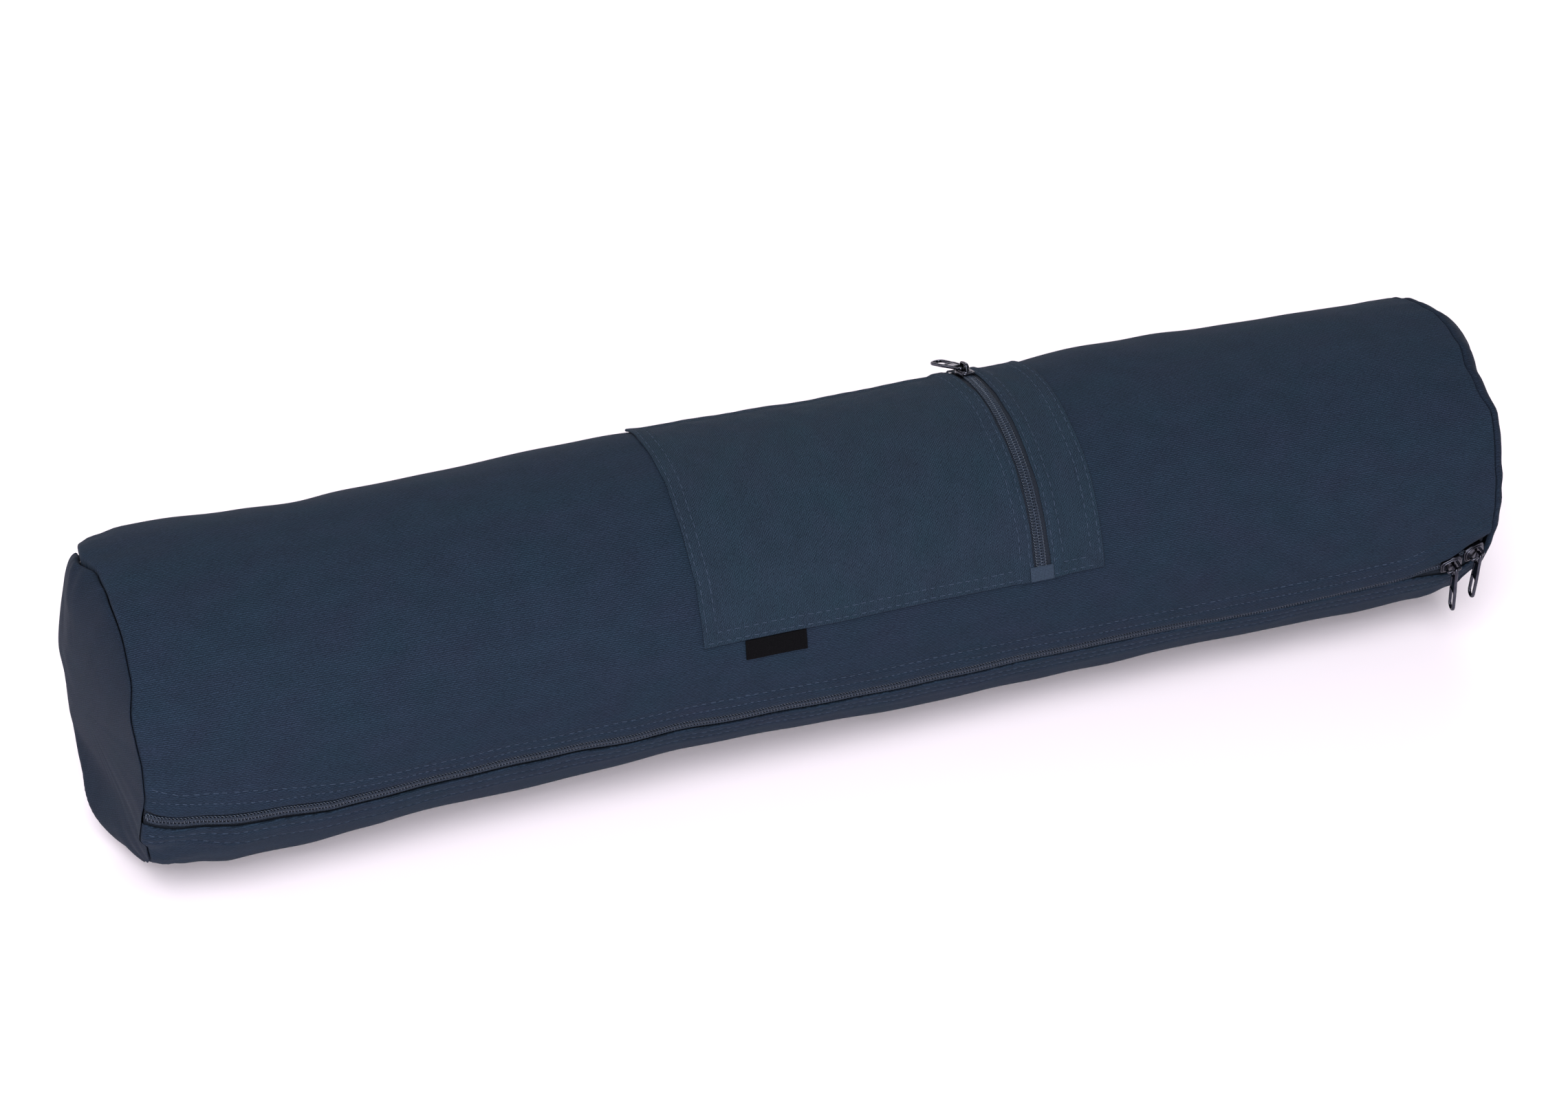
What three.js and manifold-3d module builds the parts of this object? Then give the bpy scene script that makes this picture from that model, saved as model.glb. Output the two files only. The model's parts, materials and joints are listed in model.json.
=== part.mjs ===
// A round zip bag for a rolled exercise mat, lying on its side, filled out as its contents leave it.
// Millimetres. +X runs along the bag, -Y is the zip and pocket side, +Z is up, and z = 0 is the floor.
// Angles round the bag are degrees from the top: 90 faces the front, 180 is the underside.

import * as THREE from "three";
import { mergeVertices } from "three/addons/utils/BufferGeometryUtils.js";
import Module from "manifold-3d";

const wasm = await Module();
wasm.setup();

// Main form
const bagLength = 676;
const bagRadius = 77.5;
const floorSink = 3;
const capBulge = 16;
const panelCloth = 1.5;
const capCloth = 1.5;
const gap = 0.3;
const clothGap = 0.45;

// Main zip
const coilWidth = 2.8;
const coilThickness = 1.4;
const chainGap = 0.3;
const tapeThickness = 1;
const tapeCover = 6;
const tapeStep = 1.6;
const zipEndSetback = 0.6;

// Pocket
const pocketStart = -80;
const pocketPanelWidth = 164.2;
const pocketStripWidth = 28;
const pocketTop = -30;
const pocketBottom = 76.5;
const pocketCloth = 1;
const pocketTapeThickness = 0.9;
const pocketTapeCover = 6;
const pocketCoilWidth = 2.6;
const pocketCoilThickness = 1;
const endTabWidth = 12;
const endTabHeight = 7;
const endTabThickness = 1;

// Label
const labelInset = 20;
const labelWidth = 30;
const labelHeight = 10;
const labelThickness = 1;

// Sliders
const sliderLength = 12;
const sliderPlay = 0.35;
const plateThickness = 1.1;
const flangeThickness = 0.7;
const postLength = 2.2;
const postWidth = 1.6;
const archLength = 8.4;
const archWidth = 1.4;
const archBar = 1;
const archLeg = 1.2;

// Pulls
const pullLength = 26;
const pullThickness = 1.6;
const pullLoopWidth = 7.6;
const pullLoopLength = 10;
const pullRim = 1.4;
const pullEyeRim = 1.1;
const pullEyeBar = 1.2;
const pullBevel = 0.2;
const pullHang = 0.8;
const pocketPullYaw = 14;
const pocketPullPitch = 2.4;

// Where the sliders stand
const mainSliders = [
  { side: "left", place: 1, nose: 1, lean: 2 },
  { side: "right", place: 0, nose: -1, lean: -4 },
];
const pocketSliderAngle = -16;

// How far the cloth stands out of round, in shares of the bag's radius, by place along the bag.
const sections = [
  { along: -1, topBack: -0.042, front: -0.03, underFront: -0.05, back: -0.036 },
  { along: -0.978, topBack: -0.012, front: -0.01, underFront: -0.014, back: -0.014 },
  { along: -0.945, topBack: 0.01, front: 0.004, underFront: 0.012, back: 0.006 },
  { along: -0.89, topBack: 0.012, front: 0.004, underFront: 0.055, back: 0.012 },
  { along: -0.8, topBack: -0.004, front: -0.004, underFront: 0.05, back: 0.01 },
  { along: -0.71, topBack: -0.016, front: 0.003, underFront: 0.03, back: 0 },
  { along: -0.58, topBack: -0.008, front: 0.003, underFront: -0.004, back: -0.004 },
  { along: -0.4, topBack: 0, front: 0, underFront: -0.01, back: 0.002 },
  { along: -0.24, topBack: 0, front: -0.003, underFront: -0.022, back: 0.004 },
  { along: 0, topBack: 0, front: 0.002, underFront: -0.005, back: 0 },
  { along: 0.3, topBack: 0.01, front: 0.003, underFront: 0.01, back: -0.004 },
  { along: 0.46, topBack: 0.034, front: 0.003, underFront: 0.01, back: 0.004 },
  { along: 0.65, topBack: 0.02, front: -0.003, underFront: 0.008, back: 0.008 },
  { along: 0.86, topBack: 0.004, front: 0.005, underFront: 0.016, back: 0.004 },
  { along: 0.95, topBack: -0.006, front: 0, underFront: 0.012, back: -0.004 },
  { along: 1, topBack: -0.02, front: -0.018, underFront: -0.032, back: -0.024 },
];
const sectionAngles = { topBack: -32, front: 55, underFront: 142, back: 235 };

// The long zip: the cloth edge above it, the middle of its teeth and the cloth edge below it.
const zipLine = [
  { along: -1, above: 96.5, teeth: 100, below: 103.5 },
  { along: -0.965, above: 100.3, teeth: 103.6, below: 107 },
  { along: -0.9, above: 102, teeth: 105.4, below: 108.8 },
  { along: -0.83, above: 103.2, teeth: 106.6, below: 110 },
  { along: -0.76, above: 106, teeth: 109.6, below: 112.6 },
  { along: -0.5, above: 106.8, teeth: 110.2, below: 113.4 },
  { along: -0.2, above: 109.3, teeth: 112.8, below: 115.8 },
  { along: 0.4, above: 110.4, teeth: 113.6, below: 115.8 },
  { along: 0.52, above: 111.4, teeth: 114.2, below: 116 },
  { along: 0.61, above: 113.4, teeth: 114.8, below: 115.6 },
  { along: 0.87, above: 111.4, teeth: 112.8, below: 113.8 },
  { along: 0.935, above: 106, teeth: 111.2, below: 116.4 },
  { along: 0.96, above: 101, teeth: 109, below: 116.2 },
  { along: 1, above: 98.5, teeth: 105.2, below: 112.4 },
];

// Soft folds in the round ends: reach and width in shares of the radius, depth in shares of the bulge.
const capFolds = {
  left: [
    { angle: 40, reach: 0.72, width: 0.34, depth: -0.3 },
    { angle: 78, reach: 0.86, width: 0.2, depth: -0.42 },
    { angle: 118, reach: 0.7, width: 0.26, depth: 0.16 },
    { angle: 140, reach: 0.92, width: 0.16, depth: -0.4 },
    { angle: 300, reach: 0.6, width: 0.4, depth: 0.12 },
  ],
  right: [
    { angle: 60, reach: 0.75, width: 0.3, depth: -0.25 },
    { angle: 150, reach: 0.6, width: 0.3, depth: 0.12 },
    { angle: 285, reach: 0.8, width: 0.3, depth: -0.3 },
  ],
};

// Steps of the faceted surfaces
const longSteps = 25;
const roundSteps = 40;
const capRings = 6;
const capSteps = 36;
const pocketRoundSteps = 15;
const curveSteps = 4;

// Sizes that follow from the ones above
const halfLength = bagLength / 2;
const axisHeight = bagRadius - floorSink;
const zipHalfLength = halfLength - zipEndSetback;
const coilOuter = -panelCloth - gap;
const coilInner = coilOuter - coilThickness;
const tapeFloor = coilInner - gap;
const tapeWing = -panelCloth - clothGap;
const chainSpread = postWidth / 2 + 2 * gap;
const tailHalf = chainGap / 2 + coilWidth + gap + flangeThickness;
const noseHalf = tailHalf + chainSpread;
const sliderRoom = noseHalf + sliderPlay;
const rightSliderPlace = zipHalfLength - sliderPlay - sliderLength / 2;
const sliderPlaces = mainSliders.map(({ place }) => rightSliderPlace - place * (sliderLength + gap));

const pocketTapeOuter = clothGap + pocketTapeThickness;
const pocketFloor = pocketTapeOuter + gap;
const pocketOuter = pocketFloor + pocketCloth;
const pocketCoilOuter = pocketFloor + pocketCoilThickness;
const pocketTailHalf = chainGap / 2 + pocketCoilWidth + gap + flangeThickness;
const pocketNoseHalf = pocketTailHalf + sliderPlay;
const pocketSlotHalf = pocketNoseHalf + sliderPlay + gap;
const pocketTapeHalf = pocketSlotHalf + pocketTapeCover;
const pocketZipCentre = pocketStart + pocketPanelWidth + pocketSlotHalf;

const pullEyeWidth = archWidth + archLength * Math.sin(THREE.MathUtils.degToRad(pocketPullYaw)) + 2 * sliderPlay;
const pullEyeLength = archLength / 2 + 3 * gap;
const pullEndWidth = pullEyeWidth + 2 * pullEyeRim;
const archOpening = pullEndWidth / 2 + 2 * gap - archBar / 2;
const archCentre = clothGap + plateThickness + archOpening + archBar / 2;
const pocketPullRise = clothGap + plateThickness + Math.hypot(pullEyeBar, pullThickness) / 2 + sliderPlay;

const colours = {
  body: "#2c384b",
  cap: "#2f3b4e",
  pocket: "#2e3a4b",
  tape: "#232e40",
  coil: "#2a3546",
  label: "#15151b",
  metal: "#3b3c44",
};

function material(colour, roughness, metalness) {
  return new THREE.MeshStandardMaterial({ color: colour, roughness, metalness });
}

const materials = {
  body: material(colours.body, 0.92, 0),
  cap: material(colours.cap, 0.92, 0),
  pocket: material(colours.pocket, 0.95, 0),
  tape: material(colours.tape, 0.9, 0),
  coil: material(colours.coil, 0.5, 0),
  label: material(colours.label, 0.8, 0),
  metal: material(colours.metal, 0.25, 0.9),
};

const bag = new THREE.Group();

function addMesh(name, geometry, look) {
  geometry.computeVertexNormals();
  const mesh = new THREE.Mesh(geometry, look);
  mesh.name = name;
  bag.add(mesh);
  return mesh;
}

function spread(from, to, steps) {
  return Array.from({ length: steps + 1 }, (unused, index) => from + ((to - from) * index) / steps);
}

function ease(step) {
  return step * step * (3 - 2 * step);
}

// Reads one column of a table at a place along the bag, from -1 to 1.
function readTable(table, column, along, smooth) {
  const place = Math.min(Math.max(along, table[0].along), table[table.length - 1].along);
  const last = Math.max(1, table.findIndex((row) => row.along >= place));
  const from = table[last - 1];
  const to = table[last];
  const step = (place - from.along) / (to.along - from.along);
  return from[column] + (to[column] - from[column]) * (smooth ? ease(step) : step);
}

function degreesOf(lengthRound) {
  return THREE.MathUtils.radToDeg(lengthRound / bagRadius);
}

// Distance from the bag's axis to its surface, with the underside pressed flat on the floor.
function sectionRadius(x, angle) {
  const along = x / halfLength;
  const names = Object.keys(sectionAngles);
  const turns = [...names.map((name) => sectionAngles[name] - sectionAngles.topBack), 360];
  const turn = THREE.MathUtils.euclideanModulo(angle - sectionAngles.topBack, 360);
  const index = turns.findLastIndex((start, place) => start <= turn && place < names.length);
  const step = ease((turn - turns[index]) / (turns[index + 1] - turns[index]));
  const here = readTable(sections, names[index], along, true);
  const next = readTable(sections, names[(index + 1) % names.length], along, true);
  const free = bagRadius * (1 + here + (next - here) * step);
  const down = -Math.cos(THREE.MathUtils.degToRad(angle));
  return down > 0 ? Math.min(free, axisHeight / down) : free;
}

function surfacePoint(x, angle, offset) {
  const radians = THREE.MathUtils.degToRad(angle);
  const reach = sectionRadius(x, angle) + offset;
  return new THREE.Vector3(x, -Math.sin(radians) * reach, axisHeight + Math.cos(radians) * reach);
}

// Bends a slab over the bag. rowAt gives, for one x, its { angle, outer, inner } from edge to edge.
function clothSheet(name, stations, rowAt, look) {
  const rows = stations.map(rowAt);
  const columns = stations.length - 1;
  const steps = rows[0].length - 1;
  const geometry = new THREE.BoxGeometry(1, 1, 1, columns, 1, steps);
  const position = geometry.attributes.position;
  for (let index = 0; index < position.count; index++) {
    const column = Math.round((position.getX(index) + 0.5) * columns);
    const row = Math.round((position.getZ(index) + 0.5) * steps);
    const spot = rows[column][row];
    const offset = position.getY(index) > 0 ? spot.outer : spot.inner;
    const point = surfacePoint(stations[column], spot.angle, offset);
    position.setXYZ(index, point.x, point.y, point.z);
  }
  return addMesh(name, geometry, look);
}

// Places along the bag where its cloth and its zip both have a row: closer together towards both
// ends, where the cloth rolls in, and three at each slider.
function longStations(half) {
  const atSliders = sliderPlaces.flatMap((x) => spread(x - sliderLength / 2, x + sliderLength / 2, 2));
  const room = (x) => Math.min(...atSliders.map((other) => Math.abs(x - other)));
  const even = spread(-1, 1, longSteps).map((share) => halfLength * Math.sin((share * Math.PI) / 2));
  const rows = [...even.filter((x) => room(x) > sliderLength / 8), ...atSliders].sort((a, b) => a - b);
  return [-half, ...rows.filter((x) => Math.abs(x) < half - gap / 2), half];
}

function teethAngle(x) {
  return readTable(zipLine, "teeth", x / halfLength, false);
}

// Distance from the teeth to the cloth's edge on one side: as the table has it, and clear of the sliders.
function slotHalf(x, column) {
  const open = Math.abs(readTable(zipLine, column, x / halfLength, false) - teethAngle(x));
  const tail = sliderPlaces[0] - sliderLength / 2;
  const room = sliderRoom * THREE.MathUtils.smoothstep(x, tail - sliderLength, tail - gap);
  return Math.max(THREE.MathUtils.degToRad(open) * bagRadius, room);
}

function addBodyPanel() {
  clothSheet("body_panel", longStations(halfLength), (x) => {
    const start = teethAngle(x) + degreesOf(slotHalf(x, "below"));
    const end = 360 + teethAngle(x) - degreesOf(slotHalf(x, "above"));
    return spread(start, end, roundSteps).map((angle) => ({ angle, outer: 0, inner: -panelCloth }));
  }, materials.body);
}

// Distance by which the two rows of teeth part: open only between the noses of the two sliders.
function chainOpening(x) {
  const [left, right] = sliderPlaces;
  const ramp = sliderLength / 2;
  const rise = THREE.MathUtils.smoothstep(x, left - ramp, left + ramp);
  const fall = 1 - THREE.MathUtils.smoothstep(x, right - ramp, right + ramp);
  return chainGap / 2 + chainSpread * rise * fall;
}

// One side of the long zip: side is -1 for the row above the teeth line and 1 for the row below it.
function addMainZipSide(word, side, column) {
  const stations = longStations(zipHalfLength);
  const inOrder = (row) => (side > 0 ? row : row.reverse());
  clothSheet(`main_zip_${word}_coil`, stations, (x) => {
    const near = chainOpening(x);
    return inOrder([near, near + coilWidth].map((distance) => ({
      angle: teethAngle(x) + side * degreesOf(distance), outer: coilOuter, inner: coilInner,
    })));
  }, materials.coil);
  clothSheet(`main_zip_${word}_tape`, stations, (x) => {
    const near = chainOpening(x);
    const foot = near + coilWidth + flangeThickness + 2 * gap;
    const shoulder = foot + tapeStep;
    const edge = Math.max(shoulder, slotHalf(x, column)) + tapeCover;
    const profile = [[near, tapeFloor], [foot, tapeFloor], [shoulder, tapeWing], [edge, tapeWing]];
    return inOrder(profile.map(([distance, outer]) => ({
      angle: teethAngle(x) + side * degreesOf(distance), outer, inner: outer - tapeThickness,
    })));
  }, materials.tape);
}

// Height of a round end over its seam, in shares of its bulge, at a share of its radius and an angle.
function capHeight(folds, share, angle) {
  const dome = Math.sqrt(1 - Math.min(share, 1) ** 3);
  const bend = folds.reduce((sum, fold) => {
    const turn = THREE.MathUtils.degToRad(angle - fold.angle);
    const away = Math.hypot(share * Math.cos(turn) - fold.reach, share * Math.sin(turn));
    return sum + fold.depth * Math.exp(-((away / fold.width) ** 2));
  }, 0);
  return dome * (1 + bend * dome);
}

function addEndCap(name, side, folds) {
  const shares = spread(0, 1, capRings).map((step) => Math.sin((step * Math.PI) / 2));
  const outerProfile = shares.map((share) => new THREE.Vector2(share, 1));
  const innerProfile = shares.map((share) => new THREE.Vector2(share, 0)).reverse();
  const geometry = new THREE.LatheGeometry([...outerProfile, ...innerProfile], capSteps);
  const position = geometry.attributes.position;
  for (let index = 0; index < position.count; index++) {
    const share = Math.hypot(position.getX(index), position.getZ(index));
    const radians = Math.atan2(position.getX(index), position.getZ(index));
    const angle = THREE.MathUtils.radToDeg(radians);
    const cloth = position.getY(index) > 0.5 ? 0 : capCloth;
    const reach = share * (sectionRadius(side * halfLength, angle) - cloth);
    const height = (capBulge - cloth) * capHeight(folds, share, angle);
    position.setXYZ(
      index,
      side * (halfLength + gap + height),
      -Math.sin(radians) * reach,
      axisHeight + Math.cos(radians) * reach,
    );
  }
  if (side > 0) {
    turnFacesOver(geometry);
  }
  addMesh(name, geometry, materials.cap);
}

function turnFacesOver(geometry) {
  const order = geometry.index.array;
  for (let corner = 0; corner < order.length; corner += 3) {
    [order[corner], order[corner + 1]] = [order[corner + 1], order[corner]];
  }
}

function pocketRow(bottom, outer, inner) {
  return spread(pocketTop, bottom, pocketRoundSteps).map((angle) => ({ angle, outer, inner }));
}

// The pocket's cloth lies on the body, and rises over the zip's tapes on both sides of the slot.
function addPocketCloth(name, stations) {
  clothSheet(name, stations, (x) => {
    const overTape = Math.abs(x - pocketZipCentre) < pocketTapeHalf + clothGap + gap;
    return pocketRow(pocketBottom, pocketOuter, overTape ? pocketFloor : clothGap);
  }, materials.pocket);
}

function addPocket() {
  const rise = pocketTapeHalf + clothGap;
  const rest = rise + 2 * gap;
  addPocketCloth("pocket_panel", [
    ...spread(pocketStart, pocketZipCentre - rest, 7),
    pocketZipCentre - rise,
    pocketZipCentre - pocketSlotHalf,
  ]);
  addPocketCloth("pocket_strip", [
    pocketZipCentre + pocketSlotHalf,
    pocketZipCentre + rise,
    pocketZipCentre + rest,
    pocketZipCentre + pocketSlotHalf + pocketStripWidth,
  ]);
  addPocketZipSide("left", -1);
  addPocketZipSide("right", 1);
  const tabFloor = pocketOuter + gap;
  const tabAngles = spread(pocketBottom - degreesOf(endTabHeight), pocketBottom, 2);
  const tabRow = tabAngles.map((angle) => ({ angle, outer: tabFloor + endTabThickness, inner: tabFloor }));
  const tabHalf = endTabWidth / 2;
  const tabStations = spread(pocketZipCentre - tabHalf, pocketZipCentre + tabHalf, 2);
  clothSheet("pocket_zip_end_tab", tabStations, () => tabRow, materials.tape);
}

function addPocketZipSide(word, side) {
  const inOrder = (row) => (side > 0 ? row : row.reverse());
  const across = (distance) => pocketZipCentre + side * distance;
  const near = chainGap / 2;
  const coilRow = pocketRow(pocketBottom - degreesOf(gap), pocketCoilOuter, pocketFloor);
  const tapeRow = pocketRow(pocketBottom, pocketTapeOuter, clothGap);
  const coilStations = inOrder([across(near), across(near + pocketCoilWidth)]);
  const tapeStations = inOrder([across(near), across(pocketTapeHalf)]);
  clothSheet(`pocket_zip_${word}_coil`, coilStations, () => coilRow, materials.coil);
  clothSheet(`pocket_zip_${word}_tape`, tapeStations, () => tapeRow, materials.tape);
}

function addLabel() {
  const top = pocketBottom + degreesOf(gap);
  const angles = spread(top, top + degreesOf(labelHeight), 2);
  const row = angles.map((angle) => ({ angle, outer: clothGap + labelThickness, inner: clothGap }));
  const start = pocketStart + labelInset;
  clothSheet("side_label", spread(start, start + labelWidth, 3), () => row, materials.label);
}

function toSolid(geometry) {
  const bare = new THREE.BufferGeometry();
  bare.setAttribute("position", geometry.attributes.position.clone());
  if (geometry.index) {
    bare.setIndex(geometry.index.clone());
  }
  const merged = mergeVertices(bare, 1e-5);
  return new wasm.Manifold(new wasm.Mesh({
    numProp: 3,
    vertProperties: new Float32Array(merged.attributes.position.array),
    triVerts: new Uint32Array(merged.index.array),
  }));
}

function fromSolid(solid) {
  const mesh = solid.getMesh();
  const geometry = new THREE.BufferGeometry();
  geometry.setAttribute("position", new THREE.BufferAttribute(new Float32Array(mesh.vertProperties), 3));
  geometry.setIndex(new THREE.BufferAttribute(new Uint32Array(mesh.triVerts), 1));
  return geometry;
}

function extrude(outline, depth) {
  return new THREE.ExtrudeGeometry(outline, { depth, bevelEnabled: false, curveSegments: curveSteps });
}

// Outline of a slider's plate: x towards the nose, y across the zip, blunt and wider at the nose.
function plateOutline(tail, nose, inset) {
  const front = sliderLength / 2 - inset;
  const outline = new THREE.Shape();
  outline.moveTo(-front, inset - tail);
  outline.lineTo(front * 0.25, inset - nose);
  outline.quadraticCurveTo(front, inset - nose, front, (inset - nose) * 0.35);
  outline.lineTo(front * 0.86, 0);
  outline.lineTo(front, (nose - inset) * 0.35);
  outline.quadraticCurveTo(front, nose - inset, front * 0.25, nose - inset);
  outline.lineTo(-front, tail - inset);
  outline.closePath();
  return outline;
}

// The two rims that hang from the plate's long edges and keep the teeth between them.
function sliderFlanges(tail, nose, height) {
  const rims = toSolid(extrude(plateOutline(tail, nose, 0), height));
  const channel = new THREE.Shape();
  const half = sliderLength / 2;
  channel.moveTo(-2 * half, flangeThickness - tail);
  channel.lineTo(-half, flangeThickness - tail);
  channel.lineTo(half * 0.25, flangeThickness - nose);
  channel.lineTo(2 * half, flangeThickness - nose);
  channel.lineTo(2 * half, nose - flangeThickness);
  channel.lineTo(half * 0.25, nose - flangeThickness);
  channel.lineTo(-half, tail - flangeThickness);
  channel.lineTo(-2 * half, tail - flangeThickness);
  channel.closePath();
  const open = extrude(channel, height + 2 * gap).translate(0, 0, -gap);
  return rims.subtract(toSolid(open)).translate(0, 0, clothGap - height + gap);
}

// The bridge over the plate that carries the pull: an arch along x with a window under its bar.
function sliderArch() {
  const half = archLength / 2;
  const top = archOpening + archBar;
  const round = archBar * 1.4;
  const outline = new THREE.Shape();
  outline.moveTo(-half, -gap);
  outline.lineTo(half, -gap);
  outline.lineTo(half, top - round);
  outline.quadraticCurveTo(half, top, half - round, top);
  outline.lineTo(round - half, top);
  outline.quadraticCurveTo(-half, top, -half, top - round);
  outline.closePath();
  const inner = half - archLeg;
  const window = new THREE.Path();
  window.moveTo(-inner, 0);
  window.lineTo(-inner, archOpening - gap);
  window.lineTo(gap - inner, archOpening);
  window.lineTo(inner - gap, archOpening);
  window.lineTo(inner, archOpening - gap);
  window.lineTo(inner, 0);
  window.closePath();
  outline.holes.push(window);
  const geometry = extrude(outline, archWidth).translate(0, 0, -archWidth / 2).rotateX(Math.PI / 2);
  return toSolid(geometry.translate(0, 0, clothGap + plateThickness));
}

function sliderFront(tail, nose, flangeHeight) {
  const plate = toSolid(extrude(plateOutline(tail, nose, 0), plateThickness)).translate(0, 0, clothGap);
  return plate.add(sliderFlanges(tail, nose, flangeHeight)).add(sliderArch());
}

// A main slider: front plate, rims, arch, the post that parts the teeth, and the plate behind the tapes.
// Heights are over the outer face of the teeth.
function mainSliderGeometry() {
  const flangeHeight = clothGap + coilThickness - gap;
  const backTop = tapeFloor - tapeThickness - clothGap - sliderPlay - coilOuter;
  const back = toSolid(extrude(plateOutline(tailHalf, noseHalf, gap), plateThickness));
  const postHeight = clothGap - backTop + 2 * gap;
  const post = new THREE.BoxGeometry(postLength, postWidth, postHeight);
  post.translate(sliderLength / 2 - postLength, 0, (clothGap + backTop) / 2);
  return fromSolid(
    sliderFront(tailHalf, noseHalf, flangeHeight)
      .add(back.translate(0, 0, backTop - plateThickness))
      .add(toSolid(post)),
  );
}

// Pull plate: x runs from the middle of its eye bar to its tip, y is its width.
function pullGeometry() {
  const start = -pullEyeBar / 2;
  const tip = start + pullLength;
  const endHalf = pullEndWidth / 2;
  const loopHalf = pullLoopWidth / 2;
  const loopStart = tip - pullRim - pullLoopLength;
  const corner = endHalf * 0.55;
  const outline = new THREE.Shape();
  outline.moveTo(start, corner - endHalf);
  outline.quadraticCurveTo(start, -endHalf, start + corner, -endHalf);
  outline.lineTo(start + pullEyeLength, -endHalf);
  outline.lineTo(loopStart, -loopHalf);
  outline.lineTo(tip - loopHalf, -loopHalf);
  outline.absarc(tip - loopHalf, 0, loopHalf, -Math.PI / 2, Math.PI / 2, false);
  outline.lineTo(loopStart, loopHalf);
  outline.lineTo(start + pullEyeLength, endHalf);
  outline.lineTo(start + corner, endHalf);
  outline.quadraticCurveTo(start, endHalf, start, endHalf - corner);
  outline.closePath();

  const eyeStart = pullEyeBar / 2;
  const eyeHalf = pullEyeWidth / 2;
  const eye = new THREE.Path();
  eye.moveTo(eyeStart, -eyeHalf);
  eye.lineTo(eyeStart, eyeHalf);
  eye.lineTo(eyeStart + pullEyeLength, eyeHalf);
  eye.lineTo(eyeStart + pullEyeLength, -eyeHalf);
  eye.closePath();

  const loopInner = loopHalf - pullRim;
  const loop = new THREE.Path();
  loop.moveTo(loopStart, loopInner);
  loop.lineTo(tip - loopHalf, loopInner);
  loop.absarc(tip - loopHalf, 0, loopInner, Math.PI / 2, -Math.PI / 2, true);
  loop.lineTo(loopStart, -loopInner);
  loop.closePath();
  outline.holes.push(eye, loop);

  const geometry = new THREE.ExtrudeGeometry(outline, {
    depth: pullThickness - 2 * pullBevel,
    bevelEnabled: true,
    bevelThickness: pullBevel,
    bevelSize: pullBevel,
    bevelOffset: -pullBevel,
    bevelSegments: 1,
    curveSegments: curveSteps + 2,
  });
  return geometry.translate(0, 0, pullBevel - pullThickness / 2);
}

// Axes at a spot on the bag: along a line of its surface, across that line, and out of the bag.
function surfaceAxes(angle, line) {
  const radians = THREE.MathUtils.degToRad(angle);
  const radial = new THREE.Vector3(0, -Math.sin(radians), Math.cos(radians));
  const along = line.clone().normalize();
  const across = new THREE.Vector3().crossVectors(radial, along).normalize();
  const out = new THREE.Vector3().crossVectors(along, across);
  return { along, across, out };
}

function placeMesh(mesh, origin, xAxis, yAxis) {
  const zAxis = new THREE.Vector3().crossVectors(xAxis, yAxis);
  mesh.quaternion.setFromRotationMatrix(new THREE.Matrix4().makeBasis(xAxis, yAxis, zAxis));
  mesh.position.copy(origin);
}

// A slider over the long zip's teeth, and its pull hanging plumb from the arch.
function addMainSlider({ side, nose, lean }, x) {
  const half = sliderLength / 2;
  const ends = [x - half, x + half].map((place) => surfacePoint(place, teethAngle(place), coilOuter));
  const { along, across, out } = surfaceAxes(teethAngle(x), ends[1].clone().sub(ends[0]));
  const origin = surfacePoint(x, teethAngle(x), coilOuter);
  const slider = addMesh(`main_slider_${side}`, mainSliderGeometry(), materials.metal);
  placeMesh(slider, origin, along.multiplyScalar(nose), across.multiplyScalar(nose));

  const pivot = origin.clone().addScaledVector(out, archCentre);
  const leanRadians = THREE.MathUtils.degToRad(lean);
  const down = new THREE.Vector3(Math.sin(leanRadians), 0, -Math.cos(leanRadians));
  const front = new THREE.Vector3(0, -1, 0);
  const eyeMiddle = pivot.addScaledVector(down, -(archWidth + pullEyeBar) / 2 - pullHang);
  placeMesh(addMesh(`main_pull_${side}`, pullGeometry(), materials.metal), eyeMiddle, down, front);
}

// The pocket's slider at the top of its zip, and its pull lying back over the slider's nose.
function addPocketSlider() {
  const { along, across, out } = surfaceAxes(pocketSliderAngle, new THREE.Vector3(1, 0, 0));
  const origin = surfacePoint(pocketZipCentre, pocketSliderAngle, pocketCoilOuter);
  const flangeHeight = clothGap + pocketCoilThickness - gap;
  const geometry = fromSolid(sliderFront(pocketTailHalf, pocketNoseHalf, flangeHeight));
  placeMesh(addMesh("pocket_slider", geometry, materials.metal), origin, across, along.clone().negate());

  const pivot = origin.clone().addScaledVector(out, pocketPullRise);
  const back = across.clone().applyAxisAngle(out, THREE.MathUtils.degToRad(pocketPullYaw));
  const hinge = new THREE.Vector3().crossVectors(back, out);
  const reach = back.clone().applyAxisAngle(hinge, -THREE.MathUtils.degToRad(pocketPullPitch));
  placeMesh(addMesh("pocket_pull", pullGeometry(), materials.metal), pivot, reach, hinge.negate());
}

addBodyPanel();
addEndCap("left_end_cap", -1, capFolds.left);
addEndCap("right_end_cap", 1, capFolds.right);
addMainZipSide("upper", -1, "above");
addMainZipSide("lower", 1, "below");
addPocket();
addLabel();
mainSliders.forEach((slider, index) => addMainSlider(slider, sliderPlaces[index]));
addPocketSlider();

// The origin is the middle of the bag's footprint, on the floor.
bag.updateMatrixWorld(true);
const middle = new THREE.Box3().setFromObject(bag, true).getCenter(new THREE.Vector3());
bag.position.set(-middle.x, -middle.y, 0);
bag.updateMatrixWorld(true);

export default bag;
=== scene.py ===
# A round zip bag for a rolled exercise mat, in dark blue cloth, on a white floor.
# Lengths are millimetres in the bag's own axes until a piece's mesh is made; angles are degrees
# round the bag from its top, where 90 faces the front. Noise comes from seeded waves.
import json

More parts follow.
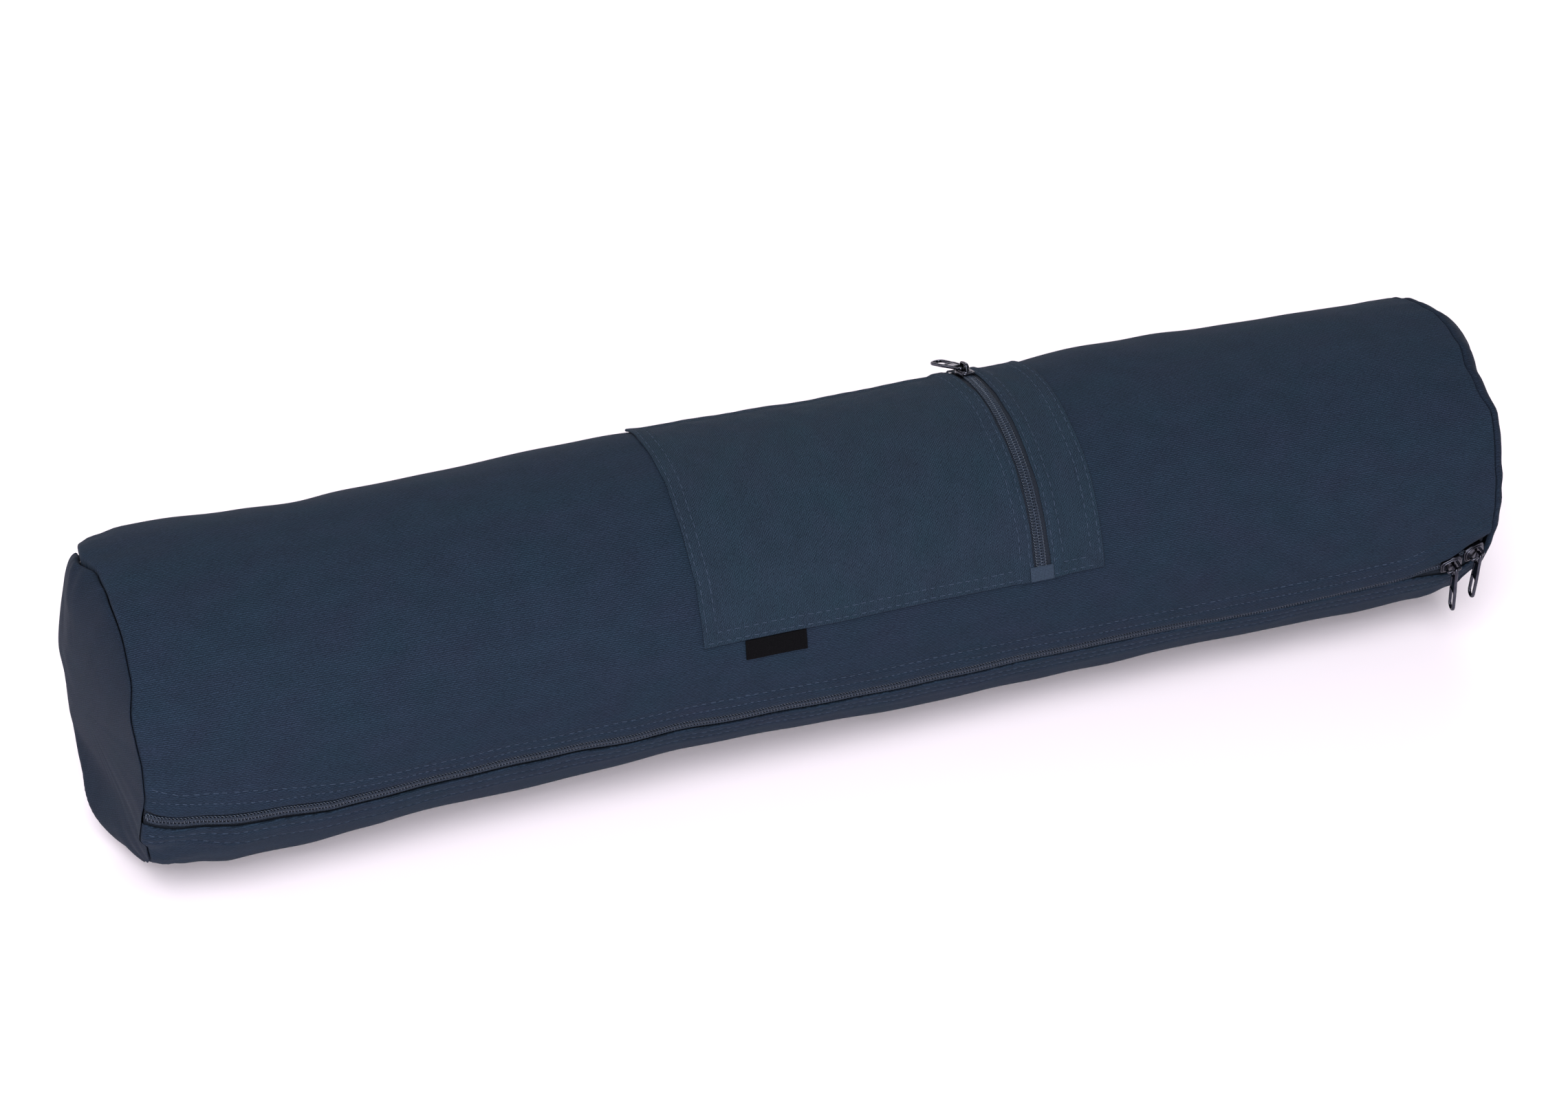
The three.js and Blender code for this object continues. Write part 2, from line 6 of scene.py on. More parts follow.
import bpy
import numpy as np
from math import cos, pi, radians, sin
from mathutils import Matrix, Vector


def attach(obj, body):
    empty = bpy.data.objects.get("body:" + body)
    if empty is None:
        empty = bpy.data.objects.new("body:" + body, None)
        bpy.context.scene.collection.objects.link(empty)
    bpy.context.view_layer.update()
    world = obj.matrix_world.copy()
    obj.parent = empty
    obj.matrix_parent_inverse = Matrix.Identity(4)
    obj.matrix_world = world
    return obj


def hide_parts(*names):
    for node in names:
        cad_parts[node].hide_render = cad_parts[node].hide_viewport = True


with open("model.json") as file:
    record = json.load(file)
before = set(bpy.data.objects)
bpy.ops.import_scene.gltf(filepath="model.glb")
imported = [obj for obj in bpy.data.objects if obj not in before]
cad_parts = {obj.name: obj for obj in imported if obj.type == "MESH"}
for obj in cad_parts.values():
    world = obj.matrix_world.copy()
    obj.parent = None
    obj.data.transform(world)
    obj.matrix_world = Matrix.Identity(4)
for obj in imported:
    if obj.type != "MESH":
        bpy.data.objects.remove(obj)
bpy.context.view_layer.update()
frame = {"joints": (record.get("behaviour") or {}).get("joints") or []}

# Camera
CAMERA_AZIMUTH = 20.02
CAMERA_ELEVATION = 33.11
CAMERA_DISTANCE = 1500
CAMERA_TARGET = (-13.16, 0.98, 80.7)
CAMERA_LENS = 70.77

# Main form, as in the part's source
BAG_LENGTH = 676
BAG_RADIUS = 77.5
FLOOR_SINK = 3
CAP_BULGE = 16
HALF = BAG_LENGTH / 2
AXIS_HEIGHT = BAG_RADIUS - FLOOR_SINK
SEAM_GAP = 0.3
SECTION_ANGLES = (-32, 55, 142, 235)
SECTIONS = np.array([
    (-1, -0.042, -0.03, -0.05, -0.036),
    (-0.978, -0.012, -0.01, -0.014, -0.014),
    (-0.945, 0.01, 0.004, 0.012, 0.006),
    (-0.89, 0.012, 0.004, 0.055, 0.012),
    (-0.8, -0.004, -0.004, 0.05, 0.01),
    (-0.71, -0.016, 0.003, 0.03, 0),
    (-0.58, -0.008, 0.003, -0.004, -0.004),
    (-0.4, 0, 0, -0.01, 0.002),
    (-0.24, 0, -0.003, -0.022, 0.004),
    (0, 0, 0.002, -0.005, 0),
    (0.3, 0.01, 0.003, 0.01, -0.004),
    (0.46, 0.034, 0.003, 0.01, 0.004),
    (0.65, 0.02, -0.003, 0.008, 0.008),
    (0.86, 0.004, 0.005, 0.016, 0.004),
    (0.95, -0.006, 0, 0.012, -0.004),
    (1, -0.02, -0.018, -0.032, -0.024),
])
ZIP_LINE = np.array([
    (-1, 96.5, 100, 103.5),
    (-0.965, 100.3, 103.6, 107),
    (-0.9, 102, 105.4, 108.8),
    (-0.83, 103.2, 106.6, 110),
    (-0.76, 106, 109.6, 112.6),
    (-0.5, 106.8, 110.2, 113.4),
    (-0.2, 109.3, 112.8, 115.8),
    (0.4, 110.4, 113.6, 115.8),
    (0.52, 111.4, 114.2, 116),
    (0.61, 113.4, 114.8, 115.6),
    (0.87, 111.4, 112.8, 113.8),
    (0.935, 106, 111.2, 116.4),
    (0.96, 101, 109, 116.2),
    (1, 98.5, 105.2, 112.4),
])
ABOVE, TEETH, BELOW = 1, 2, 3
CAP_FOLDS = {
    "left": [
        (40, 0.72, 0.34, -0.3),
        (78, 0.86, 0.2, -0.42),
        (118, 0.7, 0.26, 0.2),
        (140, 0.92, 0.16, -0.3),
        (170, 0.82, 0.34, 0.85),
        (222, 0.5, 0.35, 0.27),
        (284, 0.58, 0.26, 0.24),
        (-55, 0.45, 0.3, 0.1),
    ],
    "right": [
        (64, 0.8, 0.3, -0.35),
        (-6, 0.86, 0.36, 0.85),
        (112, 0.8, 0.42, -0.75),
        (155, 0.7, 0.35, -0.3),
        (285, 0.8, 0.3, -0.3),
    ],
}

# Cloth
TWILL_PITCH = 1.25
CLOTH = 1.3
SEAM_ROLL = 1.4
SEAM_DEPTH = 2.6
HEM_RISE = 0.45
HOOD_ANGLE = -24
HOOD_HALF = 27
HOOD_DEPTH = 4.5

# Main zip
COIL_WIDTH = 2.8
COIL_THICKNESS = 1.4
CHAIN_GAP = 0.3
COIL_OUTER = -1.8
TAPE_FLOOR = -3.5
TAPE_WING = -1.95
TAPE_THICKNESS = 0.8
TAPE_COVER = 6
CHAIN_RISE = 1.2
ZIP_HALF = HALF - 0.6
TOOTH_PITCH = 1.5
TOOTH_WIRE = 0.31

# Pocket
POCKET_START = -80
STRIP_WIDTH = 28
POCKET_TOP = -30
POCKET_BOTTOM = 76.5
POCKET_ZIP = 88.95
POCKET_SLOT_HALF = 4.75
POCKET_TAPE_HALF = 10.75
POCKET_TAPE_OUTER = 1.35
POCKET_FLOOR = 1.65
POCKET_TOOTH_PITCH = 1.35
POCKET_TOOTH_WIRE = 0.29
POCKET_COIL_WIDTH = 2.6
POCKET_COIL_THICKNESS = 1
STRIP_END = POCKET_ZIP + POCKET_SLOT_HALF + STRIP_WIDTH

# Sliders and pulls
SLIDER_LENGTH = 12
SLIDER_PLACES = (318.75, 331.05)
SLIDER_ROOM = 5.7
TAIL_HALF = 3.95
NOSE_HALF = 5.35
POCKET_TAIL_HALF = 3.75
POCKET_NOSE_HALF = 4.1
POCKET_SLIDER_ANGLE = -16
PLATE_LIFT = 0.45
PLATE_THICKNESS = 1.1
ARCH_LENGTH = 8.4
ARCH_WIDTH = 1.4
ARCH_OPENING = 3.27
ARCH_CENTRE = 5.32
PULL_LENGTH = 26
PULL_THICKNESS = 1.6
PULL_LOOP_WIDTH = 7.6
PULL_LOOP_LENGTH = 10
PULL_END_WIDTH = 6.33
PULL_EYE_WIDTH = 4.13
PULL_EYE_LENGTH = 5.1
PULL_EYE_BAR = 1.2
PULL_HANG = 0.8
MAIN_PULL_LEANS = (2, -4)
MAIN_PULL_YAW = 14
POCKET_PULL_RISE = 2.9
POCKET_PULL_YAW = 14
POCKET_PULL_PITCH = 2.4

# Stitching
THREAD_RADIUS = 0.19
STITCH_SINK = 0.3
UPPER_FAR_ROW = np.array([
    (-338, 87), (-324, 91), (-294, 93.5), (-273, 96.4), (-250, 99.4), (-195, 100), (-84, 100.3),
    (-23, 100.4), (60, 101.2), (142, 101.8), (203, 102), (290, 100.8), (314, 95), (325, 92), (338, 89),
])
UPPER_NEAR_ROW = np.array([
    (-338, 92.8), (-313, 96), (-284, 99.4), (-250, 102.4), (-195, 103.4), (-84, 104.3), (-23, 104.5),
    (60, 105.4), (142, 106.4), (204, 106.6), (285, 105.6), (306, 101.5), (320, 97), (338, 93),
])
LOWER_NEAR_ROW = np.array([
    (-338, 107.4), (-324, 110.4), (-295, 112.4), (-250, 116), (-195, 116.8), (-84, 118.6),
    (177, 119), (290, 117.6), (310, 120), (338, 116.5),
])
LOWER_FAR_ROW = np.array([
    (-338, 111), (-317, 115), (-295, 119), (-273, 121), (-250, 122), (-47, 122.2), (177, 122.5),
    (290, 121.4), (310, 123.6), (338, 120.5),
])


# Reading tables and the bag's surface

def ease(step):
    return step * step * (3 - 2 * step)


def smooth_step(x, low, high):
    return ease(np.clip((x - low) / (high - low), 0, 1))


def read_table(table, column, along, smooth):
    places = table[:, 0]
    along = np.clip(along, places[0], places[-1])
    last = np.clip(np.searchsorted(places, along), 1, len(places) - 1)
    step = (along - places[last - 1]) / (places[last] - places[last - 1])
    if smooth:
        step = ease(step)
    before = table[last - 1, column]
    return before + (table[last, column] - before) * step


def mm_round(angle):
    return np.radians(angle) * BAG_RADIUS


def degrees_of(length):
    return np.degrees(length / BAG_RADIUS)


def free_radius(x, angle):
    turns = np.array([place - SECTION_ANGLES[0] for place in SECTION_ANGLES] + [360])
    turn = np.mod(angle - SECTION_ANGLES[0], 360)
    index = np.clip(np.searchsorted(turns, turn, side="right") - 1, 0, 3)
    step = ease((turn - turns[index]) / (turns[index + 1] - turns[index]))
    shares = np.array([read_table(SECTIONS, column, x / HALF, True) for column in (1, 2, 3, 4)])
    here = np.choose(index, shares)
    after = np.choose((index + 1) % 4, shares)
    return BAG_RADIUS * (1 + here + (after - here) * step)


# How far the seam of each end wanders along the bag, by angle, and the places where the tube's cloth
# stands over the round end as a lip: angle, half width, rise and depth beside it.
SEAM_SHIFTS = {
    -1: np.array([
        (-180, 0), (-70, -1), (-30, -4), (-9, -6), (-3, -3.5), (5, -0.5), (17, 1), (34, 2.6), (48, 2.4),
        (63, -0.8), (80, 0.2), (91, -0.4), (102, -3), (112, -4.6), (119, -1.5), (136, 0), (180, 0),
    ]),
    1: np.array([
        (-180, 0), (-60, 0), (-11, -1.8), (6, 0.8), (19, 0.2), (30, -2), (40, -1.6), (50, 2.2), (61, 1),
        (74, 0), (118, 0), (128, -4), (150, -1.5), (180, 0),
    ]),
}
SEAM_LIPS = {
    -1: ((-8, 12, 1.7, 2.0), (22, 15, 0.6, 2.6), (110, 9, 1.1, 1.8), (60, 14, -0.3, 0.4)),
    1: ((-6, 12, 0.6, 1.4), (34, 10, 0.5, 2), (100, 10, 0, 0.6), (128, 9, 0.4, 1.4)),
}


def turn_from(angle, start):
    return np.mod(angle - start + 180, 360) - 180


def seam_shift(x, angle):
    wrapped = turn_from(angle, 0)
    left = read_table(SEAM_SHIFTS[-1], 1, wrapped, True)
    right = read_table(SEAM_SHIFTS[1], 1, wrapped, True)
    return np.where(x < 0, left, right) * smooth_step(np.abs(x), HALF - 48, HALF)


def seam_lips(angle, side, column):
    return sum(lip[column] * np.exp(-((turn_from(angle, lip[0]) / lip[1]) ** 2)) for lip in SEAM_LIPS[side])


# The left end is tucked under the tube's cloth round its top.
def hood(angle, side):
    return HOOD_DEPTH * (side < 0) * np.exp(-((turn_from(angle, HOOD_ANGLE) / HOOD_HALF) ** 2))


# A smooth random field over points in space, about -2 to 2, with waves between two lengths.
def waves(points, shortest, longest, seed, count=28):
    rng = np.random.default_rng(seed)
    total = np.zeros(points.shape[:-1])
    for _ in range(count):
        direction = rng.normal(size=3)
        direction /= np.linalg.norm(direction)
        length = rng.uniform(shortest, longest)
        total += np.sin(points @ direction * (2 * pi / length) + rng.uniform(0, 2 * pi))
    return total * (2 / count) ** 0.5


def on_round(x, angle):
    turn = np.radians(angle)
    return np.stack([x, -np.sin(turn) * BAG_RADIUS, np.cos(turn) * BAG_RADIUS], axis=-1)


# Creases and soft ridges: from (x, angle) to (x, angle), half width and height in millimetres.
CREASES = [
    (-336, 121, -298, 106, 5, -1.5),
    (-334, 128, -285, 118, 6, 0.9),
    (-337, 134, -312, 128, 4, -1.2),
    (-336, 146, -306, 138, 5, -1.3),
    (-338, -6, -300, -3, 5, -0.9),
    (-336, 6, -296, 8, 6, 0.7),
    (-337, 40, -318, 48, 5, -0.7),
    (-337, 72, -316, 64, 5, -0.6),
    (-338, 74, -312, 88, 4, -1.2),
    (-338, 69, -304, 80, 5, 0.8),
    (337, 30, 312, 24, 5, -0.8),
    (337, 62, 314, 66, 5, -0.6),
    (336, 124, 300, 132, 6, -1.1),
    (336, 140, 306, 150, 6, 0.8),
    (-337, 250, -300, 262, 6, -1.0),
    (337, 238, 300, 226, 6, -1.0),
    (336, 300, 306, 292, 6, -0.8),
    (-336, 318, -306, 310, 6, -0.9),
]


def creases(x, angle):
    total = np.zeros(np.broadcast(x, angle).shape)
    for x0, a0, x1, a1, width, height in CREASES:
        turn = turn_from(angle, a0)
        run = np.array([x1 - x0, mm_round(a1 - a0)])
        length = np.linalg.norm(run)
        along = ((x - x0) * run[0] + mm_round(turn) * run[1]) / length
        across = ((x - x0) * run[1] - mm_round(turn) * run[0]) / length
        fade = np.clip(1 - np.clip(along, 0, None) / length, 0, 1)
        total += height * fade ** 0.7 * np.exp(-((across / width) ** 2)) * (along > -8)
    return total


# Where the top stands up beside the pocket: x, angle, height, half length and half width in degrees.
TOP_LUMP = (-85, -38, 2.4, 75, 30)


# How far the cloth stands out of the plain form: soft lumps, creases and gathers at the seams.
def relief(x, angle):
    points = on_round(x, angle)
    lumps = 0.42 * waves(points, 70, 150, 11) + 0.2 * waves(points, 26, 52, 12)
    ends = np.exp(-((HALF - np.abs(x)) / 15) ** 2)
    turn = np.radians(angle)
    gathers = np.sin(31 * turn + 2.2 * np.sin(3 * turn + 0.6) + np.sign(x)) + 0.6 * np.sin(19 * turn + 1.3)
    lumps = lumps + 0.3 * ends * gathers + creases(x, angle)
    place, spot, height, length, width = TOP_LUMP
    lumps = lumps + height * np.exp(-(((x - place) / length) ** 2) - (turn_from(angle, spot) / width) ** 2)
    lips = np.where(x < 0, seam_lips(angle, -1, 2), seam_lips(angle, 1, 2))
    lumps = lumps + lips * np.exp(-((HALF - np.abs(x)) / 7) ** 2)
    for place, spot, reach in ((325, 110.5, 17), (POCKET_ZIP, POCKET_SLIDER_ANGLE, 14)):
        away = np.hypot(x - place, mm_round(turn_from(angle, spot)))
        lumps = lumps * smooth_step(away, reach * 0.6, reach * 1.7)
    return lumps


def surface(x, angle, offset, plain=False):
    x, angle, offset = np.broadcast_arrays(
        np.asarray(x, float), np.asarray(angle, float), np.asarray(offset, float))
    reach = free_radius(x, angle)
    if not plain:
        reach = reach + relief(x, angle)
    turn = np.radians(angle)
    down = -np.cos(turn)
    floor = AXIS_HEIGHT / np.maximum(down, 1e-6)
    reach = np.where(down > 0, np.minimum(reach, floor), reach) + offset
    along = x if plain else x + seam_shift(x, angle)
    return np.stack([along, -np.sin(turn) * reach, AXIS_HEIGHT + np.cos(turn) * reach], axis=-1)


def teeth_angle(x):
    return read_table(ZIP_LINE, TEETH, x / HALF, False)


def slot_half(x, column):
    x = np.asarray(x, float)
    opening = np.abs(read_table(ZIP_LINE, column, x / HALF, False) - teeth_angle(x))
    tail = SLIDER_PLACES[0] - SLIDER_LENGTH / 2
    room = SLIDER_ROOM * smooth_step(x, tail - SLIDER_LENGTH, tail - 0.3)
    return np.maximum(mm_round(opening), room)


def chain_opening(x):
    left, right = SLIDER_PLACES
    ramp = SLIDER_LENGTH / 2
    rise = smooth_step(x, left - ramp, left + ramp)
    fall = 1 - smooth_step(x, right - ramp, right + ramp)
    return CHAIN_GAP / 2 + 1.4 * rise * fall


# Axes at a spot: along a line of the surface, across it and out of the bag.
def surface_axes(angle, line):
    turn = radians(angle)
    radial = np.array([0, -sin(turn), cos(turn)])
    along = line / np.linalg.norm(line)
    across = np.cross(radial, along)
    across /= np.linalg.norm(across)
    return along, across, np.cross(along, across)


def main_slider_frame(place):
    ends = [surface(place + step, teeth_angle(place + step), COIL_OUTER, True) for step in (-6, 6)]
    axes = surface_axes(float(teeth_angle(place)), ends[1] - ends[0])
    return surface(place, teeth_angle(place), COIL_OUTER, True), axes


# The part's source centres the bag; the shift is read back from where a joint ended up.
def frame_shift():
    origin, (_, _, out) = main_slider_frame(SLIDER_PLACES[0])
    pivot = origin + out * ARCH_CENTRE
    joint = next(joint for joint in frame["joints"] if joint["name"] == "main_pull_left_swing")
    return np.array(joint["pos_m"]) * 1000 - pivot


SHIFT = frame_shift()
SHIFT[2] = 0


# Meshes

def make_piece(name, points, faces, look, cloth=None):
    mesh = bpy.data.meshes.new(name)
    mesh.from_pydata(((np.asarray(points) + SHIFT) / 1000).tolist(), [], faces)
    mesh.validate()
    mesh.polygons.foreach_set("use_smooth", [True] * len(mesh.polygons))
    if cloth is not None:
        corners = np.empty(len(mesh.loops), dtype=np.int32)
        mesh.loops.foreach_get("vertex_index", corners)
        layer = mesh.uv_layers.new(name="Cloth")
        layer.data.foreach_set("uv", np.asarray(cloth, float)[corners].ravel())
    piece = bpy.data.objects.new(name, mesh)
    bpy.context.scene.collection.objects.link(piece)
    mesh.materials.append(look)
    mesh.update()
    return piece


# Says which body carries a piece and hides the solid it stands for.
def dress(piece, node, body="bag"):
    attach(piece, body)
    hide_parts(node)


def grid_faces(index, flip=False):
    a, b, c, d = index[:-1, :-1], index[1:, :-1], index[1:, 1:], index[:-1, 1:]
    order = (a, d, c, b) if flip else (a, b, c, d)
    return np.stack(order, axis=-1).reshape(-1, 4)


# Distances from one border to the other: fine steps at both borders, then an even pitch.
def spread_out(start, end, pitch, fine=(0, 0.12, 0.35, 0.7, 1.2)):
    length = end - start
    fine = np.array(fine)
    inner = np.linspace(fine[-1], length - fine[-1], max(2, round((length - 2 * fine[-1]) / pitch) + 1))
    return start + np.concatenate([fine[:-1], inner, length - fine[:-1][::-1]])


# A cloth piece: outer and inner faces that meet in a rounded border.
def cloth_piece(name, x, angle, outer, inner, look, round_off=0.65, turn_cloth=False):
    x, angle, outer, inner = np.broadcast_arrays(x, angle, outer, inner)
    across = mm_round(angle)
    ends = [np.abs(x - x[:1]), np.abs(x - x[-1:])]
    sides = [np.abs(across - across[:, :1]), np.abs(across - across[:, -1:])]
    border = np.minimum.reduce(ends + sides)
    share = np.clip(border / round_off, 0, 1)
    half = (outer - inner) / 2 * np.sqrt(np.clip(1 - (1 - share) ** 2, 0, 1))
    middle = (outer + inner) / 2
    top = surface(x, angle, middle + half)
    under = surface(x, angle, middle - half)
    columns, rows = x.shape
    index = np.arange(columns * rows).reshape(columns, rows)
    inside = np.arange((columns - 2) * (rows - 2)).reshape(columns - 2, rows - 2)
    low = index.copy()
    low[1:-1, 1:-1] = columns * rows + inside
    points = np.concatenate([top.reshape(-1, 3), under[1:-1, 1:-1].reshape(-1, 3)])
    plan = np.stack([across, x] if turn_cloth else [x, across], axis=-1)
    cloth = np.concatenate([plan.reshape(-1, 2), plan[1:-1, 1:-1].reshape(-1, 2)])
    faces = np.concatenate([grid_faces(index, True), grid_faces(low)])
    return make_piece(name, points, faces.tolist(), look, cloth)


# Tubes round paths: paths is (number, points, 3), outward a direction for each point.
def tube_mesh(paths, outward, radii, sides):
    tangent = np.gradient(paths, axis=1)
    tangent /= np.linalg.norm(tangent, axis=-1, keepdims=True) + 1e-12
    side = np.cross(tangent, outward)
    side /= np.linalg.norm(side, axis=-1, keepdims=True) + 1e-12
    up = np.cross(side, tangent)
    turns = np.arange(sides) * 2 * pi / sides
    ring = (np.cos(turns)[:, None] * side[:, :, None, :] + np.sin(turns)[:, None] * up[:, :, None, :])
    points = paths[:, :, None, :] + ring * np.asarray(radii)[..., None, None]
    number, steps = paths.shape[:2]
    index = np.arange(number * steps * sides).reshape(number, steps, sides)
    after = np.roll(index, -1, axis=2)
    quads = np.stack([index[:, :-1], after[:, :-1], after[:, 1:], index[:, 1:]], axis=-1)
    faces = quads.reshape(-1, 4).tolist()
    faces += index[:, 0, ::-1].tolist() + index[:, -1].tolist()
    return points.reshape(-1, 3), faces


# Materials

def add_node(tree, kind, inputs=None, **settings):
    node = tree.nodes.new(kind)
    for key, value in settings.items():
        setattr(node, key, value)
    for key, value in (inputs or {}).items():
        if isinstance(value, bpy.types.NodeSocket):
            tree.links.new(value, node.inputs[key])
        else:
            node.inputs[key].default_value = value
    return node


def math_node(tree, operation, *values):
    return add_node(tree, "ShaderNodeMath", dict(enumerate(values)), operation=operation).outputs[0]


def cosine(tree, value, pitch):
    return math_node(tree, "COSINE", math_node(tree, "MULTIPLY", value, 2 * pi / pitch))


def add_up(tree, height, *terms):
    for value, weight in terms:
        height = math_node(tree, "MULTIPLY_ADD", value, weight, height)
    return height


def ramp(tree, value, low, high, start=0, end=1):
    return add_node(tree, "ShaderNodeMapRange", {0: value, 1: low, 2: high, 3: start, 4: end}).outputs[0]


def add_bump(tree, shader, strength, distance, height):
    bump = add_node(tree, "ShaderNodeBump", {"Strength": strength, "Distance": distance, "Height": height})
    tree.links.new(bump.outputs[0], shader.inputs["Normal"])


def linear(red, green, blue):
    channels = [((value / 255 + 0.055) / 1.055) ** 2.4 for value in (red, green, blue)]
    return (*channels, 1)


def new_look(name):
    look = bpy.data.materials.new(name)
    look.use_nodes = True
    return look, look.node_tree, look.node_tree.nodes["Principled BSDF"]


def cloth_places(tree, stretch_u, stretch_v):
    uv = add_node(tree, "ShaderNodeUVMap", uv_map="Cloth").outputs[0]
    values = {0: uv, 1: (stretch_u, stretch_v, 1)}
    return add_node(tree, "ShaderNodeVectorMath", values, operation="MULTIPLY").outputs[0]


def noise_node(tree, places, scale=1, detail=2, roughness=0.5):
    values = {"Vector": places, "Scale": scale, "Detail": detail, "Roughness": roughness}
    return add_node(tree, "ShaderNodeTexNoise", values).outputs["Fac"]


def mix_colours(tree, share, first, second, kind="MIX"):
    node = add_node(tree, "ShaderNodeMix", data_type="RGBA", blend_type=kind)
    for key, value in ((0, share), (6, first), (7, second)):
        if isinstance(value, bpy.types.NodeSocket):
            tree.links.new(value, node.inputs[key])
        else:
            node.inputs[key].default_value = value
    return node.outputs[2]


# Canvas: ribs along its first direction, broken up and crossed by ties, with slow drifts of colour.
def canvas_look(name, dark, light, rib_pitch, tie_pitch, ribs, ties, twill):
    look, tree, shader = new_look(name)
    bend = noise_node(tree, cloth_places(tree, 0.3, 0.45), detail=2)
    split = add_node(tree, "ShaderNodeSeparateXYZ", {0: cloth_places(tree, 1, 1)})
    along = math_node(tree, "MULTIPLY_ADD", bend, 1.3, split.outputs[0])
    across = math_node(tree, "MULTIPLY_ADD", bend, 1.0, split.outputs[1])
    breaks = noise_node(tree, cloth_places(tree, 0.55, 1.25), detail=3, roughness=0.6)
    fuzz = noise_node(tree, cloth_places(tree, 1.9, 2.3), detail=2, roughness=0.6)
    rib = cosine(tree, across, rib_pitch)
    crossed = cosine(tree, across, 2 * rib_pitch), cosine(tree, along, 2 * tie_pitch)
    tie = math_node(tree, "MULTIPLY", *crossed)
    slant = cosine(tree, math_node(tree, "ADD", along, across), TWILL_PITCH)
    height = math_node(tree, "MULTIPLY", math_node(tree, "MULTIPLY", rib, breaks), ribs)
    height = add_up(tree, height, (tie, ties), (slant, twill), (breaks, 0.9), (fuzz, 0.9))
    weave = mix_colours(tree, ramp(tree, height, 0.35, 1.45), linear(*dark), linear(*light))
    patch = noise_node(tree, cloth_places(tree, 0.03, 0.045), detail=4, roughness=0.55)
    tint = mix_colours(tree, ramp(tree, patch, 0.3, 0.7), (1.1, 0.97, 1.0, 1), (0.93, 1.04, 1.0, 1))
    worn = ramp(tree, noise_node(tree, cloth_places(tree, 0.07, 0.1), detail=3), 0.3, 0.7, 0.93, 1.08)
    grey = add_node(tree, "ShaderNodeCombineXYZ", {0: worn, 1: worn, 2: worn}).outputs[0]
    colour = mix_colours(tree, 1.0, weave, tint, "MULTIPLY")
    colour = mix_colours(tree, 1.0, colour, grey, "MULTIPLY")
    tree.links.new(colour, shader.inputs["Base Color"])
    tree.links.new(ramp(tree, fuzz, 0.2, 0.8, 0.84, 0.98), shader.inputs["Roughness"])
    add_bump(tree, shader, 0.55, 0.00016, height)
    shader.inputs["Specular IOR Level"].default_value = 0.1
    shader.inputs["Sheen Weight"].default_value = 0.03
    shader.inputs["Sheen Roughness"].default_value = 0.5
    shader.inputs["Sheen Tint"].default_value = linear(150, 160, 185)
    return look


def tape_look(name, dark, light, specular=0.25):
    look, tree, shader = new_look(name)
    split = add_node(tree, "ShaderNodeSeparateXYZ", {0: cloth_places(tree, 1, 1)})
    rib, step = cosine(tree, split.outputs[1], 0.7), cosine(tree, split.outputs[0], 0.75)
    fuzz = noise_node(tree, cloth_places(tree, 1.6, 1.6), detail=3)
    height = add_up(tree, math_node(tree, "MULTIPLY", step, 0.25), (rib, 0.3), (fuzz, 0.8))
    colour = mix_colours(tree, ramp(tree, height, -0.2, 1), linear(*dark), linear(*light))
    tree.links.new(colour, shader.inputs["Base Color"])
    add_bump(tree, shader, 0.7, 0.0002, height)
    shader.inputs["Roughness"].default_value = 0.85
    shader.inputs["Specular IOR Level"].default_value = specular
    return look


def object_noise(tree, scale, detail=2):
    places = add_node(tree, "ShaderNodeTexCoord").outputs["Object"]
    return noise_node(tree, places, scale=scale, detail=detail)


def plain_look(name, dark, light, roughness, specular, scale, bump_height=0.00005, metallic=0.0):
    look, tree, shader = new_look(name)
    grain = object_noise(tree, scale, 3)
    colour = mix_colours(tree, ramp(tree, grain, 0.3, 0.7), linear(*dark), linear(*light))
    tree.links.new(colour, shader.inputs["Base Color"])
    rough = ramp(tree, grain, 0.3, 0.7, roughness * 0.85, min(1, roughness * 1.15))
    tree.links.new(rough, shader.inputs["Roughness"])
    add_bump(tree, shader, 0.5, bump_height, grain)
    shader.inputs["Metallic"].default_value = metallic
    shader.inputs["Specular IOR Level"].default_value = specular
    return look


LOOKS = {
    "body_cloth": canvas_look("body_cloth", (10, 18, 28), (34, 47, 64), 0.9, 0.85, 0.66, 0.14, 0.05),
    # The round ends get a darker copy of the tube's cloth: painted shade on the ends.
    "cap_cloth": canvas_look("cap_cloth", (9, 15, 25), (30, 41, 57), 0.85, 0.8, 0.4, 0.12, 0.16),
    "pocket_cloth": canvas_look("pocket_cloth", (11, 19, 29), (38, 52, 67), 0.9, 0.7, 0.3, 0.16, 0.2),
    "zip_tape": tape_look("zip_tape", (10, 14, 21), (28, 36, 50)),
    "zip_coil": plain_look("zip_coil", (30, 38, 51), (52, 63, 81), 0.32, 0.5, 1400),
    "label": tape_look("label", (2, 2, 4), (8, 8, 11), 0.06),
    "end_tape": tape_look("end_tape", (24, 33, 45), (52, 64, 81), 0.15),
    "thread": plain_look("thread", (38, 48, 64), (60, 72, 92), 0.8, 0.15, 2500),
    "coil_thread": plain_look("coil_thread", (22, 29, 41), (42, 52, 69), 0.7, 0.3, 1800),
    "zip_metal": plain_look("zip_metal", (58, 59, 68), (78, 79, 89), 0.22, 0.5, 500, 0.00003, 1.0),
}


